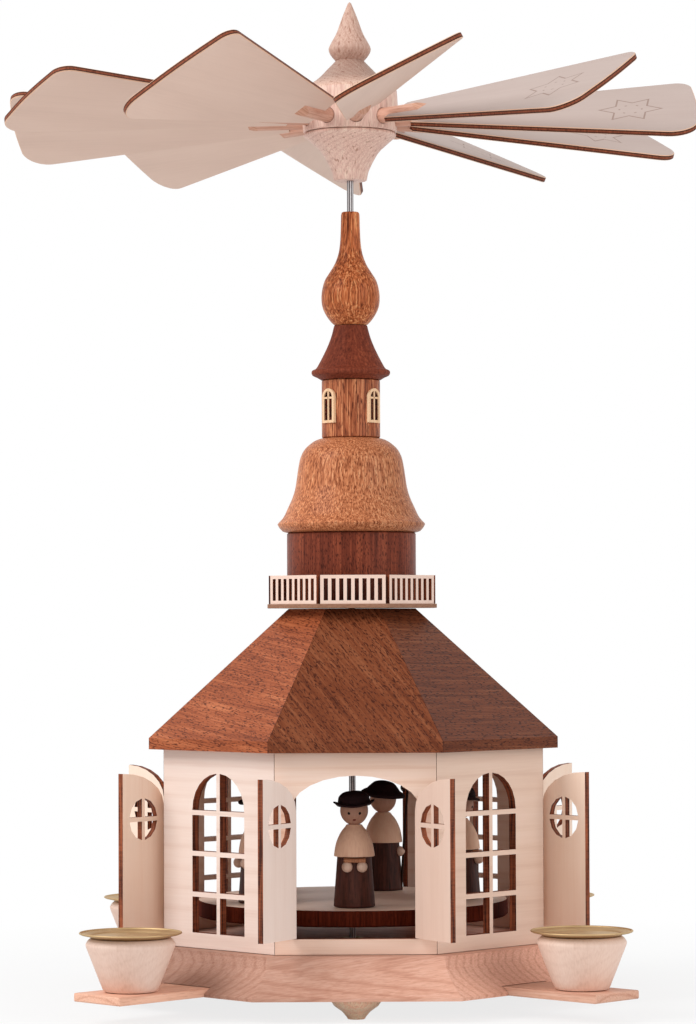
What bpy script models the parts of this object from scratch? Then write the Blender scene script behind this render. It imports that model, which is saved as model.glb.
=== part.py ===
"""A wooden candle carousel: a warm-air wheel of ten wings turns a stage of carved figures
inside an eight-sided pavilion, with four tealight holders round it. Lengths are in metres.

Frame: +Z is up, the origin is on the ground under the spindle, and -Y is the front.
An angle round the spindle is measured from the front towards +X.
"""
import math

import bmesh
import bpy
from mathutils import Matrix, Vector
from mathutils.geometry import tessellate_polygon

# Clearances
GAP = 0.0003
OVERRUN = 0.002
SINK = 0.0006

# Pavilion walls, eight mitred boards
WALL_INRADIUS = 0.0983
WALL_THICKNESS = 0.0045
WALL_HEIGHT = 0.1007
SILL_HEIGHT = 0.0077
HEAD_HEIGHT = 0.0109
DOOR_POST = 0.00841
DOOR_ARCH_RISE = 0.0169
WINDOW_POST = 0.02161
WINDOW_BAR = 0.0025
ARCH_STEPS = 12

# Base block, eight-sided, with a hollow moulding
BASE_HEIGHT = 0.0204
BASE_LEDGE = 0.0087
BASE_FLARE = 0.0175
BASE_LIP = 0.0016
COVE_STEPS = 4

# Foot, turned, under the base at the middle of a side
FOOT_HEIGHT = 0.011
FOOT_TOP_RADIUS = 0.0126
FOOT_INSET = 0.0235
FOOT_OUTLINE_SHARES = (
    (0.35, 0.0), (0.46, 0.2), (0.56, 0.34), (0.72, 0.48), (0.9, 0.62), (0.98, 0.8), (1.0, 1.0))

# Candle arm, a flat board let into the underside of the base
ARM_WIDTH = 0.0336
ARM_THICKNESS = 0.0042
ARM_LET_IN = 0.0505
ARM_END_MARGIN = 0.023
ARM_CHAMFER = 0.0006

# Candle cup, turned
CUP_STAND_OFF = 0.034
CUP_RADIUS = 0.0223
CUP_HEIGHT = 0.0264
CUP_OUTLINE_SHARES = ((0.585, 0.0), (0.63, 0.05), (1.0, 0.86), (0.985, 0.91), (0.9, 1.0))

# Tealight dish, pressed sheet brass
DISH_WELL_RADIUS = 0.0199
DISH_FLARE = 0.0057
DISH_HEIGHT = 0.0031
DISH_SHEET = 0.0008

# Door leaves, fixed half open: front, right, rear and left doorway
LEAF_THICKNESS = 0.003
LEAF_KERF = 0.0005
LEAF_OPEN_ANGLES = tuple(math.radians(angle) for angle in (121, 141, 121, 141))
LEAF_PORTHOLE_MARGIN = 0.0051
LEAF_PORTHOLE_DROP = 0.0239
LEAF_BAR = 0.0023

# Roof, a hollow shell of eight boards
EAVE_OVERHANG = 0.0075
FASCIA_HEIGHT = 0.0058
ROOF_RISE = 0.0666
ROOF_TOP_INRADIUS = 0.0334
ROOF_BOARD = 0.0045
ROOF_CROWN = 0.005
ROOF_SEAT_MARGIN = 0.0028

# Gallery on the roof
GALLERY_OVERHANG = 0.0111
GALLERY_FLOOR = 0.0021
RAIL_SETBACK = 0.0007
RAIL_THICKNESS = 0.002
RAIL_HEIGHT = 0.015
RAIL_CORNER_GAP = 0.00238
RAIL_EDGE = 0.0018
RAIL_GAPS = 8
RAIL_BAR = 0.0018

# Turned lantern stack over the gallery
DRUM_RADIUS = 0.0342
DRUM_HEIGHT = 0.0374
BELL_RADIUS = 0.0392
BELL_HEIGHT = 0.05
BELL_OUTLINE_SHARES = (
    (0.88, 0.0), (0.966, 0.048), (1.0, 0.085), (0.947, 0.138), (0.861, 0.257), (0.794, 0.375),
    (0.756, 0.479), (0.733, 0.598), (0.709, 0.718), (0.681, 0.807), (0.624, 0.889), (0.529, 0.955),
    (0.396, 1.0))
TOWER_RADIUS = 0.0155
TOWER_HEIGHT = 0.0305
TOWER_ROOF_RADIUS = 0.0209
TOWER_ROOF_HEIGHT = 0.0288
TOWER_ROOF_OUTLINE_SHARES = (
    (0.757, 0.0), (0.878, 0.045), (1.0, 0.135), (0.919, 0.251), (0.797, 0.369), (0.656, 0.515),
    (0.542, 0.661), (0.473, 0.809), (0.423, 1.0))
SPIRE_RADIUS = 0.0155
SPIRE_HEIGHT = 0.0604
SPIRE_OUTLINE_SHARES = (
    (0.548, 0.0), (0.64, 0.027), (0.842, 0.09), (0.962, 0.159), (1.0, 0.235), (0.976, 0.311),
    (0.887, 0.394), (0.723, 0.464), (0.558, 0.533), (0.411, 0.617), (0.366, 0.7), (0.336, 0.81),
    (0.315, 1.0))

# Glazing frames on the tower
PANE_FRAME_WIDTH = 0.009
PANE_FRAME_HEIGHT = 0.0182
PANE_FRAME_STAND_OFF = 0.0009
PANE_FRAME_DEPTH = 0.0022
PANE_FRAME_BAR = 0.0014
PANE_FRAME_LIFT = 0.0075
PANE_FRAME_ANGLE = math.radians(49)

# Spindle and its bearing
SPINDLE_RADIUS = 0.00175
SPINDLE_TIP = 0.004
SPINDLE_TOP_IN_HUB = 0.014
THROUGH_CLEARANCE = 0.00125
GUIDE_CLEARANCE = 0.00045
BEARING_WALL = 0.0025
BEARING_HEIGHT = 0.008
BEARING_DIMPLE_MARGIN = 0.00175
BEARING_DIMPLE_DEPTH = 0.0045

# Turntable
STAGE_MARGIN = 0.0118
STAGE_THICKNESS = 0.0083
STAGE_CLEARANCE = 0.0123
COLLAR_RADIUS = 0.009
COLLAR_HEIGHT = 0.0065

# Figures standing on the turntable
FIGURE_INSET = 0.025
FIGURE_ANGLES = tuple(math.radians(angle) for angle in (0, 86, 162, 234, 300))
POLE_BEARER = 3
ROBE_HEIGHT = 0.0266
ROBE_FOOT_RADIUS = 0.0106
ROBE_TOP_RADIUS = 0.0087
CAPE_HEIGHT = 0.0158
CAPE_RADIUS = 0.0104
NECK_RADIUS = 0.0033
HEAD_RADIUS = 0.0073
HEAD_HEIGHT = 0.0113
BRIM_RADIUS = 0.0098
FLOPPY_BRIM_RADIUS = 0.0118
BRIM_THICKNESS = 0.0012
CROWN_HEIGHT = 0.0055
CROWN_STEPS = 3
HAND_RADIUS = 0.0027
HAND_SPREAD = 0.0039
HAND_DROP = 0.0062
BOOK_WIDTH = 0.0112
BOOK_THICKNESS = 0.002
BOOK_DEPTH = 0.006
POLE_RADIUS = 0.0007
POLE_HEIGHT = 0.056
POLE_OFFSET = 0.0116
POLE_KNOB_RADIUS = 0.0016
CAPE_OUTLINE_SHARES = ((1.0, 0.0), (0.93, 0.27), (0.76, 0.6), (0.44, 0.92))

# Wheel hub, turned
HUB_GUIDE_GAP = 0.0167
STEM_RADIUS = 0.0246
STEM_HEIGHT = 0.0254
STEM_OUTLINE_SHARES = (
    (0.35, 0.0), (0.4, 0.19), (0.5, 0.4), (0.623, 0.6), (0.785, 0.755), (0.95, 0.9), (1.0, 0.965),
    (0.96, 1.0))
CROWN_RADIUS = 0.0255
CROWN_BELT_HEIGHT = 0.0236
CROWN_NECK_RADIUS = 0.0069
CROWN_CONE_HEIGHT = 0.0148
CROWN_SWELL = 0.0005
FINIAL_RADIUS = 0.0112
FINIAL_HEIGHT = 0.0318
FINIAL_OUTLINE_SHARES = (
    (0.61, 0.0), (0.92, 0.1), (1.0, 0.2), (0.8, 0.41), (0.71, 0.49), (0.57, 0.58), (0.28, 0.77),
    (0.0, 1.0))

# Wings, each set in its socket at its own pitch
WING_COUNT = 10
WING_FIRST_ANGLE = math.radians(6.4)
WING_PITCHES = tuple(math.radians(pitch) for pitch in (30, 30, 29, 25, 26, 31, 30, 26, 20, 31))
WING_AXIS_LIFT = 0.0066
WING_ROOT_RADIUS = 0.034
WING_TIP_RADIUS = 0.189
WING_TIP_SKEW = 0.009
WING_ROOT_LOWER = 0.008
WING_ROOT_UPPER = 0.0115
WING_TIP_LOWER = 0.0385
WING_TIP_UPPER = 0.036
WING_THICKNESS = 0.003
WING_LOWER_CORNER = 0.013
WING_UPPER_CORNER = 0.009
WING_TIP_BULGE = 0.0012
DOWEL_RADIUS = 0.004
SOCKET_WALL = 0.0012
DOWEL_OUTER_RADIUS = 0.059
DOWEL_SLANT = 0.009

# Facets round a turned piece
FINE_SIDES = 32
ROUND_SIDES = 24
SMALL_SIDES = 16
FIGURE_SIDES = 12
BALL_SIDES = 6
BALL_RINGS = 4
DOWEL_SIDES = 12

SIDES = 8
SIDE_ANGLE = 2 * math.pi / SIDES
HALF_SIDE_SHARE = math.tan(SIDE_ANGLE / 2)
CORNER_SHARE = 1 / math.cos(SIDE_ANGLE / 2)
QUARTER = math.pi / 2

# Plan sizes that follow from the sizes above
WALL_WIDTH = 2 * WALL_INRADIUS * HALF_SIDE_SHARE
DOOR_WIDTH = WALL_WIDTH - 2 * DOOR_POST
WINDOW_WIDTH = WALL_WIDTH - 2 * WINDOW_POST
OPENING_HEIGHT = WALL_HEIGHT - SILL_HEIGHT - HEAD_HEIGHT
BASE_TOP_INRADIUS = WALL_INRADIUS + BASE_LEDGE
BASE_FOOT_INRADIUS = BASE_TOP_INRADIUS + BASE_FLARE
FOOT_PLACE_RADIUS = BASE_FOOT_INRADIUS - FOOT_INSET
CUP_PLACE_RADIUS = BASE_FOOT_INRADIUS + CUP_STAND_OFF
ARM_INNER_RADIUS = BASE_FOOT_INRADIUS - ARM_LET_IN
ARM_OUTER_RADIUS = CUP_PLACE_RADIUS + ARM_END_MARGIN
DISH_RIM_RADIUS = DISH_WELL_RADIUS + DISH_FLARE
EAVE_INRADIUS = WALL_INRADIUS + EAVE_OVERHANG
ROOF_SEAT_INRADIUS = WALL_INRADIUS - WALL_THICKNESS - ROOF_SEAT_MARGIN
GALLERY_INRADIUS = ROOF_TOP_INRADIUS + GALLERY_OVERHANG
RAIL_INRADIUS = GALLERY_INRADIUS - RAIL_SETBACK
RAIL_WIDTH = 2 * RAIL_INRADIUS * HALF_SIDE_SHARE - RAIL_CORNER_GAP
THROUGH_BORE_RADIUS = SPINDLE_RADIUS + THROUGH_CLEARANCE
GUIDE_BORE_RADIUS = SPINDLE_RADIUS + GUIDE_CLEARANCE
BEARING_DIMPLE_RADIUS = SPINDLE_RADIUS + BEARING_DIMPLE_MARGIN
BEARING_RADIUS = BEARING_DIMPLE_RADIUS + BEARING_WALL
STAGE_RADIUS = WALL_INRADIUS - WALL_THICKNESS - STAGE_MARGIN
FIGURE_PLACE_RADIUS = STAGE_RADIUS - FIGURE_INSET
SOCKET_RADIUS = (DOWEL_RADIUS + GAP) / math.cos(math.pi / DOWEL_SIDES)
SOCKET_FLOOR_RADIUS = (SOCKET_RADIUS + SOCKET_WALL / 2) / math.sin(math.pi / WING_COUNT)
DOWEL_INNER_RADIUS = SOCKET_FLOOR_RADIUS + GAP

# Heights that follow from the sizes above
BASE_BOTTOM = FOOT_HEIGHT
BASE_TOP = BASE_BOTTOM + BASE_HEIGHT
WALL_BOTTOM = BASE_TOP + GAP
WALL_TOP = WALL_BOTTOM + WALL_HEIGHT
SILL_TOP = WALL_BOTTOM + SILL_HEIGHT
OPENING_TOP = SILL_TOP + OPENING_HEIGHT
EAVE_BOTTOM = WALL_TOP + GAP
EAVE_TOP = EAVE_BOTTOM + FASCIA_HEIGHT
ROOF_TOP = EAVE_TOP + ROOF_RISE
GALLERY_BOTTOM = ROOF_TOP + GAP
GALLERY_TOP = GALLERY_BOTTOM + GALLERY_FLOOR
DRUM_BOTTOM = GALLERY_TOP + GAP
BELL_BOTTOM = DRUM_BOTTOM + DRUM_HEIGHT + GAP
TOWER_BOTTOM = BELL_BOTTOM + BELL_HEIGHT + GAP
TOWER_ROOF_BOTTOM = TOWER_BOTTOM + TOWER_HEIGHT + GAP
SPIRE_BOTTOM = TOWER_ROOF_BOTTOM + TOWER_ROOF_HEIGHT + GAP
SPIRE_TOP = SPIRE_BOTTOM + SPIRE_HEIGHT
STEM_BOTTOM = SPIRE_TOP + HUB_GUIDE_GAP
CROWN_BOTTOM = STEM_BOTTOM + STEM_HEIGHT + GAP
WING_AXIS_HEIGHT = CROWN_BOTTOM + WING_AXIS_LIFT
STAGE_BOTTOM = BASE_TOP + STAGE_CLEARANCE
STAGE_TOP = STAGE_BOTTOM + STAGE_THICKNESS
CUP_BOTTOM = BASE_BOTTOM + ARM_THICKNESS + GAP
DISH_BOTTOM = CUP_BOTTOM + CUP_HEIGHT + GAP
BEARING_BOTTOM = BASE_TOP - BEARING_HEIGHT
SPINDLE_BOTTOM = BASE_TOP - BEARING_DIMPLE_DEPTH + GAP
SPINDLE_TOP = CROWN_BOTTOM + SPINDLE_TOP_IN_HUB


def remove_scene_objects():
    """Empty the scene before the model is built."""
    for thing in list(bpy.data.objects):
        bpy.data.objects.remove(thing, do_unlink=True)


def finish(name, colour, roughness, metallic=0.0):
    """A plain material in the part's own colour."""
    made = bpy.data.materials.new(name)
    made.use_nodes = True
    shader = made.node_tree.nodes["Principled BSDF"]
    shader.inputs["Base Color"].default_value = (*colour, 1.0)
    shader.inputs["Roughness"].default_value = roughness
    shader.inputs["Metallic"].default_value = metallic
    return made


def close_mesh(builder, name, smooth_angle):
    """Turn the faces out and give the mesh its smooth and sharp edges."""
    bmesh.ops.remove_doubles(builder, verts=builder.verts, dist=SINK * SINK)
    bmesh.ops.recalc_face_normals(builder, faces=builder.faces)
    made = bpy.data.meshes.new(name)
    builder.to_mesh(made)
    builder.free()
    made.shade_smooth()
    made.set_sharp_from_angle(angle=smooth_angle)
    return made


def place(name, shape, material, matrix=None, parent=None):
    """Put a mesh into the scene as a named piece."""
    piece = bpy.data.objects.new(name, shape)
    if not shape.materials:
        shape.materials.append(material)
    bpy.context.collection.objects.link(piece)
    if parent:
        piece.parent = parent
    if matrix:
        piece.matrix_basis = matrix
    return piece


def pivot(name, location, parent=None):
    """An empty on the axis that the pieces under it turn about."""
    made = bpy.data.objects.new(name, None)
    made.location = location
    bpy.context.collection.objects.link(made)
    made.parent = parent
    return made


def turned(name, outline, sides, smooth_angle=math.radians(35)):
    """Revolve (radius, height) points about Z. An outline that starts and ends on the axis is
    a solid turning; any other one closes on itself and leaves a bore."""
    builder = bmesh.new()
    rings = []
    for radius, height in outline:
        if radius == 0:
            rings.append([builder.verts.new((0, 0, height))])
            continue
        ring = []
        for step in range(sides):
            angle = 2 * math.pi * step / sides
            ring.append(builder.verts.new((radius * math.sin(angle), -radius * math.cos(angle), height)))
        rings.append(ring)
    following = rings[1:] + rings[:1] if outline[0][0] else rings[1:]
    pairs = list(zip(rings, following))
    for lower, upper in pairs:
        for step in range(sides):
            after = (step + 1) % sides
            corners = [lower[step % len(lower)], lower[after % len(lower)],
                       upper[after % len(upper)], upper[step % len(upper)]]
            corners = list(dict.fromkeys(corners))
            if len(corners) > 2:
                builder.faces.new(corners)
    return close_mesh(builder, name, smooth_angle)


def scaled(shares, radius, height, bottom=0.0):
    """Outline shares brought to a piece's own radius and height."""
    return [(share * radius, bottom + rise * height) for share, rise in shares]


def bored(outline, bore):
    """The turned outline with a bore of the given radius down its axis."""
    return outline + [(bore, outline[-1][1]), (bore, outline[0][1])]


def fill_flat(builder, rings, loops):
    """Cover one face of a board, leaving its cut-outs open, with well shaped triangles."""
    flat = [[Vector((u, v, 0)) for u, v in loop] for loop in loops]
    points = [vert for ring in rings for vert in ring]
    faces = [builder.faces.new([points[index] for index in corners]) for corners in tessellate_polygon(flat)]
    inner = {edge for face in faces for edge in face.edges if len(edge.link_faces) == 2}
    inner = [edge for edge in inner if all(face in faces for face in edge.link_faces)]
    bmesh.ops.beautify_fill(builder, faces=faces, edges=inner)


def add_board(builder, loops, near_level, far_level, far_move=None, matrix=None, open_foot=False):
    """Add a board between two levels. loops holds its outline and its cut-outs as (u, v) points,
    far_move shifts an outline point on the far face, and open_foot leaves out the edge face
    between the outline's first two points."""
    matrix = matrix or Matrix()
    levels = []
    for level, move in ((near_level, None), (far_level, far_move)):
        levels.append([[builder.verts.new(matrix @ Vector((*(move(u, v) if move else (u, v)), level)))
                        for u, v in loop] for loop in loops])
    for near_ring, far_ring in zip(*levels):
        count = len(near_ring)
        for step in range(count):
            if open_foot and step == 0 and near_ring is levels[0][0]:
                continue
            after = (step + 1) % count
            builder.faces.new([near_ring[step], near_ring[after], far_ring[after], far_ring[step]])
    for rings in levels:
        fill_flat(builder, rings, loops)


def sheet(name, loops, near_level, far_level, far_move=None):
    """A board between two levels, as a mesh of its own."""
    builder = bmesh.new()
    add_board(builder, loops, near_level, far_level, far_move)
    return close_mesh(builder, name, math.radians(25))


def block(name, low, high):
    """A square-edged box between two corners."""
    loop = [(low[0], low[1]), (high[0], low[1]), (high[0], high[1]), (low[0], high[1])]
    return sheet(name, [loop], low[2], high[2])


def ball(name, radius, rings, sides):
    """A ball as a turning of a half circle."""
    outline = [(0, -radius)]
    for step in range(1, rings):
        angle = math.pi * step / rings
        outline.append((radius * math.sin(angle), -radius * math.cos(angle)))
    return turned(name, outline + [(0, radius)], sides, math.radians(60))


def octagon(inradius):
    """The eight corners of an octagon whose sides face the front, the back and between."""
    reach = inradius * CORNER_SHARE
    corners = [SIDE_ANGLE * (corner + 1 / 2) for corner in range(SIDES)]
    return [(reach * math.sin(angle), -reach * math.cos(angle)) for angle in corners]


def octagonal(name, outline):
    """Eight-sided body: (inradius, height) points swept round the eight sides. The outline runs
    from one flat cap to the other, or ends where it started and leaves a hole."""
    ring_body = outline[0] == outline[-1]
    rows = outline[:-1] if ring_body else outline
    builder = bmesh.new()
    rings = [[builder.verts.new((x, y, height)) for x, y in octagon(inradius)] for inradius, height in rows]
    pairs = list(zip(rings, rings[1:]))
    if ring_body:
        pairs.append((rings[-1], rings[0]))
    else:
        builder.faces.new(rings[0])
        builder.faces.new(rings[-1])
    for lower, upper in pairs:
        for corner in range(SIDES):
            after = (corner + 1) % SIDES
            builder.faces.new([lower[corner], lower[after], upper[after], upper[corner]])
    return close_mesh(builder, name, math.radians(20))


def combined(name, base, others, operation, smooth_angle=math.radians(35)):
    """Cut the other meshes out of a mesh, or join them to it, one after the other."""
    body = place(name + "_body", base, None)
    tools = []
    for index, (shape, matrix) in enumerate(others):
        tool = place(name + "_tool_" + str(index), shape, None, matrix)
        tool.hide_render = True
        tool.display_type = "WIRE"
        step = body.modifiers.new(tool.name, "BOOLEAN")
        step.object = tool
        step.operation = operation
        step.solver = "EXACT"
        tools.append(tool)
    bpy.context.view_layer.update()
    evaluated = body.evaluated_get(bpy.context.evaluated_depsgraph_get())
    made = bpy.data.meshes.new_from_object(evaluated)
    made.name = name
    made.materials.clear()
    made.shade_smooth()
    made.set_sharp_from_angle(angle=smooth_angle)
    for tool in [*tools, body]:
        bpy.data.objects.remove(tool, do_unlink=True)
    return made


def joined(name, base, others, smooth_angle=math.radians(35)):
    """One solid out of a mesh and the placed meshes glued to it."""
    return combined(name, base, others, "UNION", smooth_angle)


def carved(name, base, cutters, smooth_angle=math.radians(35)):
    """A mesh with the placed cutters taken out of it."""
    return combined(name, base, cutters, "DIFFERENCE", smooth_angle)


def round_cutter(name, radius, bottom, top, sides=SMALL_SIDES):
    """A plain cylinder to cut a bore with."""
    return turned(name, [(0, bottom), (radius, bottom), (radius, top), (0, top)], sides)


def around(angle):
    """Turn from the front to an angle about the spindle."""
    return Matrix.Rotation(angle, 4, "Z")


def wall_frame(angle, inradius):
    """Board frame on one side of the pavilion: u runs to the right seen from outside, v runs up
    and the third axis points out of the wall."""
    upright = Matrix.Rotation(QUARTER, 4, "X")
    return around(angle) @ Matrix.Translation((0, -inradius, 0)) @ upright


def ellipse_arch(half_width, rise, spring, steps):
    """Points of an elliptical arch from its right springing to its left one."""
    points = []
    for step in range(steps + 1):
        angle = math.pi * step / steps
        points.append((half_width * math.cos(angle), spring + rise * math.sin(angle)))
    return points


def base_block():
    """The plinth: eight sides with a hollow moulding, a seat for the bearing and four grooves."""
    flare = BASE_FOOT_INRADIUS - BASE_TOP_INRADIUS
    cove = BASE_HEIGHT - 2 * BASE_LIP
    outline = [(BASE_FOOT_INRADIUS, BASE_BOTTOM)]
    for step in range(COVE_STEPS + 1):
        share = step / COVE_STEPS
        inradius = BASE_TOP_INRADIUS + flare * (1 - math.sin(share * QUARTER))
        outline.append((inradius, BASE_BOTTOM + BASE_LIP + cove * share))
    outline.append((BASE_TOP_INRADIUS, BASE_TOP))
    body = octagonal("base_blank", outline)
    seat_top = BASE_TOP + OVERRUN
    seat = round_cutter("bearing_seat", BEARING_RADIUS + GAP, BEARING_BOTTOM - GAP, seat_top, ROUND_SIDES)
    cutters = [(seat, None)]
    half_groove = ARM_WIDTH / 2 + GAP
    for index in range(4):
        low = (-half_groove, -BASE_FOOT_INRADIUS * CORNER_SHARE, BASE_BOTTOM - OVERRUN)
        high = (half_groove, -ARM_INNER_RADIUS + GAP, BASE_BOTTOM + ARM_THICKNESS + GAP)
        cutters.append((block("arm_groove", low, high), around(QUARTER * (index + 1 / 2))))
    place("base_block", carved("base_block", body, cutters, math.radians(20)), ALDER)


def feet():
    """Four turned feet glued under the middle of the front, side and back edges."""
    outline = scaled(FOOT_OUTLINE_SHARES, FOOT_TOP_RADIUS, FOOT_HEIGHT - GAP)
    shape = turned("foot", [(0, 0), *outline, (0, outline[-1][1])], SMALL_SIDES)
    for index, name in enumerate(("foot_front", "foot_right", "foot_rear", "foot_left")):
        spot = around(QUARTER * index) @ Vector((0, -FOOT_PLACE_RADIUS, 0))
        place(name, shape, ALDER, Matrix.Translation(spot))


def candle_holders():
    """An arm, a turned cup and a sheet brass dish on each diagonal."""
    low = (-ARM_WIDTH / 2, -ARM_OUTER_RADIUS, BASE_BOTTOM)
    high = (ARM_WIDTH / 2, -ARM_INNER_RADIUS, BASE_BOTTOM + ARM_THICKNESS)
    arm = block("candle_arm", low, high)
    outline = scaled(CUP_OUTLINE_SHARES, CUP_RADIUS, CUP_HEIGHT)
    cup = turned("candle_cup", [(0, 0), *outline, (0, CUP_HEIGHT)], ROUND_SIDES)
    dish = turned("tealight_dish", [
        (0, 0), (DISH_WELL_RADIUS, 0), (DISH_RIM_RADIUS, DISH_HEIGHT - DISH_SHEET),
        (DISH_RIM_RADIUS, DISH_HEIGHT), (DISH_WELL_RADIUS, DISH_SHEET), (0, DISH_SHEET)], ROUND_SIDES)
    for index, corner in enumerate(("front_right", "rear_right", "rear_left", "front_left")):
        turn = around(QUARTER * (index + 1 / 2))
        board = place("candle_arm_" + corner, arm, ALDER, turn)
        bevel = board.modifiers.new("eased_edges", "BEVEL")
        bevel.width = ARM_CHAMFER
        bevel.segments = 1
        spot = turn @ Vector((0, -CUP_PLACE_RADIUS, 0))
        place("candle_cup_" + corner, cup, MAPLE, Matrix.Translation(spot + Vector((0, 0, CUP_BOTTOM))))
        place("tealight_dish_" + corner, dish, BRASS, Matrix.Translation(spot + Vector((0, 0, DISH_BOTTOM))))


def wall_outline():
    """Outline of one wall board, and the move that mitres its inner face."""
    half = WALL_INRADIUS * HALF_SIDE_SHARE - GAP / 2
    inner_half = (WALL_INRADIUS - WALL_THICKNESS) * HALF_SIDE_SHARE - GAP / 2
    outline = [(-half, WALL_BOTTOM), (half, WALL_BOTTOM), (half, WALL_TOP), (-half, WALL_TOP)]

    def mitred(u, v):
        """Draw the two upright edges in towards the inside of the pavilion."""
        return (math.copysign(inner_half, u) if abs(u) == half else u, v)
    return outline, mitred


def door_opening(half_width, bottom, crown):
    """The doorway: square below and an elliptical arch above."""
    arch = ellipse_arch(half_width, DOOR_ARCH_RISE, crown - DOOR_ARCH_RISE, ARCH_STEPS)
    return [(-half_width, bottom), (half_width, bottom), *arch]


def door_walls():
    """Front, side and back boards, each with an arched doorway."""
    outline, mitred = wall_outline()
    opening = door_opening(DOOR_WIDTH / 2, SILL_TOP, OPENING_TOP)
    shape = sheet("door_wall", [outline, opening], 0, -WALL_THICKNESS, mitred)
    for index, side in enumerate(("front", "right", "rear", "left")):
        place("door_wall_" + side, shape, BIRCH, wall_frame(QUARTER * index, WALL_INRADIUS))


def window_panes():
    """Eight lights between a middle bar and three cross bars, the upper two under a round arch."""
    half = WINDOW_WIDTH / 2
    bar = WINDOW_BAR / 2
    spring = OPENING_TOP - half
    light = (spring - WINDOW_BAR - SILL_TOP - 2 * WINDOW_BAR) / 3
    panes = []
    for row in range(3):
        bottom = SILL_TOP + row * (light + WINDOW_BAR)
        for left, right in ((-half, -bar), (bar, half)):
            panes.append([(left, bottom), (right, bottom), (right, bottom + light), (left, bottom + light)])
    arch = []
    reach = math.acos(bar / half)
    for step in range(ARCH_STEPS // 2 + 1):
        angle = reach * step / (ARCH_STEPS // 2)
        arch.append((half * math.cos(angle), spring + half * math.sin(angle)))
    right_pane = [(bar, spring), *arch]
    panes.append(right_pane)
    panes.append([(-u, v) for u, v in reversed(right_pane)])
    return panes


def window_walls():
    """Diagonal boards, each with a barred window cut from the same board."""
    outline, mitred = wall_outline()
    shape = sheet("window_wall", [outline, *window_panes()], 0, -WALL_THICKNESS, mitred)
    for index, side in enumerate(("front_right", "rear_right", "rear_left", "front_left")):
        place("window_wall_" + side, shape, BIRCH, wall_frame(QUARTER * (index + 1 / 2), WALL_INRADIUS))


def leaf_outline():
    """Right-hand leaf: half of the doorway's cut-out, from the hinge edge at u = 0."""
    width = DOOR_WIDTH / 2 - LEAF_KERF
    spring = OPENING_HEIGHT - DOOR_ARCH_RISE - 2 * LEAF_KERF
    steps = ARCH_STEPS // 2
    outline = [(0, 0), (width, 0)]
    for step in range(steps + 1):
        angle = QUARTER * (steps - step) / steps
        outline.append((width - width * math.cos(angle), spring + DOOR_ARCH_RISE * math.sin(angle)))
    return outline, width, spring + DOOR_ARCH_RISE


def leaf_porthole(width, height):
    """A round window in quarters, with a cross of bars left between them."""
    centre_u = width / 2
    centre_v = height - LEAF_PORTHOLE_DROP
    radius = width / 2 - LEAF_PORTHOLE_MARGIN
    bar = LEAF_BAR / 2
    start = math.asin(bar / radius)
    steps = ARCH_STEPS // 4
    quarters = []
    for side_u, side_v in ((1, 1), (-1, 1), (-1, -1), (1, -1)):
        quarter = [(centre_u + side_u * bar, centre_v + side_v * bar)]
        for step in range(steps + 1):
            angle = start + (QUARTER - 2 * start) * step / steps
            quarter.append((centre_u + side_u * radius * math.cos(angle),
                            centre_v + side_v * radius * math.sin(angle)))
        quarters.append(quarter if side_u * side_v > 0 else quarter[::-1])
    return quarters


def door_leaves():
    """Eight leaves, glued open on the arrises of the four doorways."""
    outline, width, height = leaf_outline()
    loops = [outline, *leaf_porthole(width, height)]
    right = sheet("leaf_right", loops, 0, LEAF_THICKNESS)
    mirrored = [[(-u, v) for u, v in reversed(loop)] for loop in loops]
    left = sheet("leaf_left", mirrored, 0, LEAF_THICKNESS)
    lift = SILL_TOP + LEAF_KERF
    for index, side in enumerate(("front", "right", "rear", "left")):
        swing = math.pi - LEAF_OPEN_ANGLES[index]
        wall = wall_frame(QUARTER * index, WALL_INRADIUS + GAP)
        for name, shape, hand in (("right", right, 1), ("left", left, -1)):
            hinge = Matrix.Translation((hand * DOOR_WIDTH / 2, lift, 0))
            opened = Matrix.Rotation(-hand * swing, 4, "Y")
            place("door_leaf_" + side + "_" + name, shape, BIRCH, wall @ hinge @ opened)


def roof():
    """Hollow eight-sided roof with a fascia, a flat crown and a bore for the spindle."""
    slope = math.atan2(ROOF_RISE, EAVE_INRADIUS - ROOF_TOP_INRADIUS)
    inward = ROOF_BOARD / math.sin(slope)
    seat = ROOF_SEAT_INRADIUS
    rise_to_seat = (EAVE_INRADIUS - inward - seat) * math.tan(slope)
    crown_inner = ROOF_TOP_INRADIUS - inward + ROOF_CROWN / math.tan(slope)
    shell = octagonal("roof_blank", [
        (THROUGH_BORE_RADIUS, ROOF_TOP), (ROOF_TOP_INRADIUS, ROOF_TOP), (EAVE_INRADIUS, EAVE_TOP),
        (EAVE_INRADIUS, EAVE_BOTTOM), (seat, EAVE_BOTTOM), (seat, EAVE_TOP + rise_to_seat),
        (crown_inner, ROOF_TOP - ROOF_CROWN), (THROUGH_BORE_RADIUS, ROOF_TOP - ROOF_CROWN),
        (THROUGH_BORE_RADIUS, ROOF_TOP)])
    place("roof", shell, MAHOGANY)


def rail_loops():
    """One rail panel: its outline and the gaps between its balusters."""
    half = RAIL_WIDTH / 2
    outline = [(-half, 0), (half, 0), (half, RAIL_HEIGHT), (-half, RAIL_HEIGHT)]
    gap = (RAIL_WIDTH - (RAIL_GAPS + 1) * RAIL_BAR) / RAIL_GAPS
    loops = [outline]
    for index in range(RAIL_GAPS):
        left = -half + RAIL_BAR + index * (gap + RAIL_BAR)
        low = RAIL_EDGE
        high = RAIL_HEIGHT - RAIL_EDGE
        loops.append([(left, low), (left + gap, low), (left + gap, high), (left, high)])
    return loops


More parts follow.
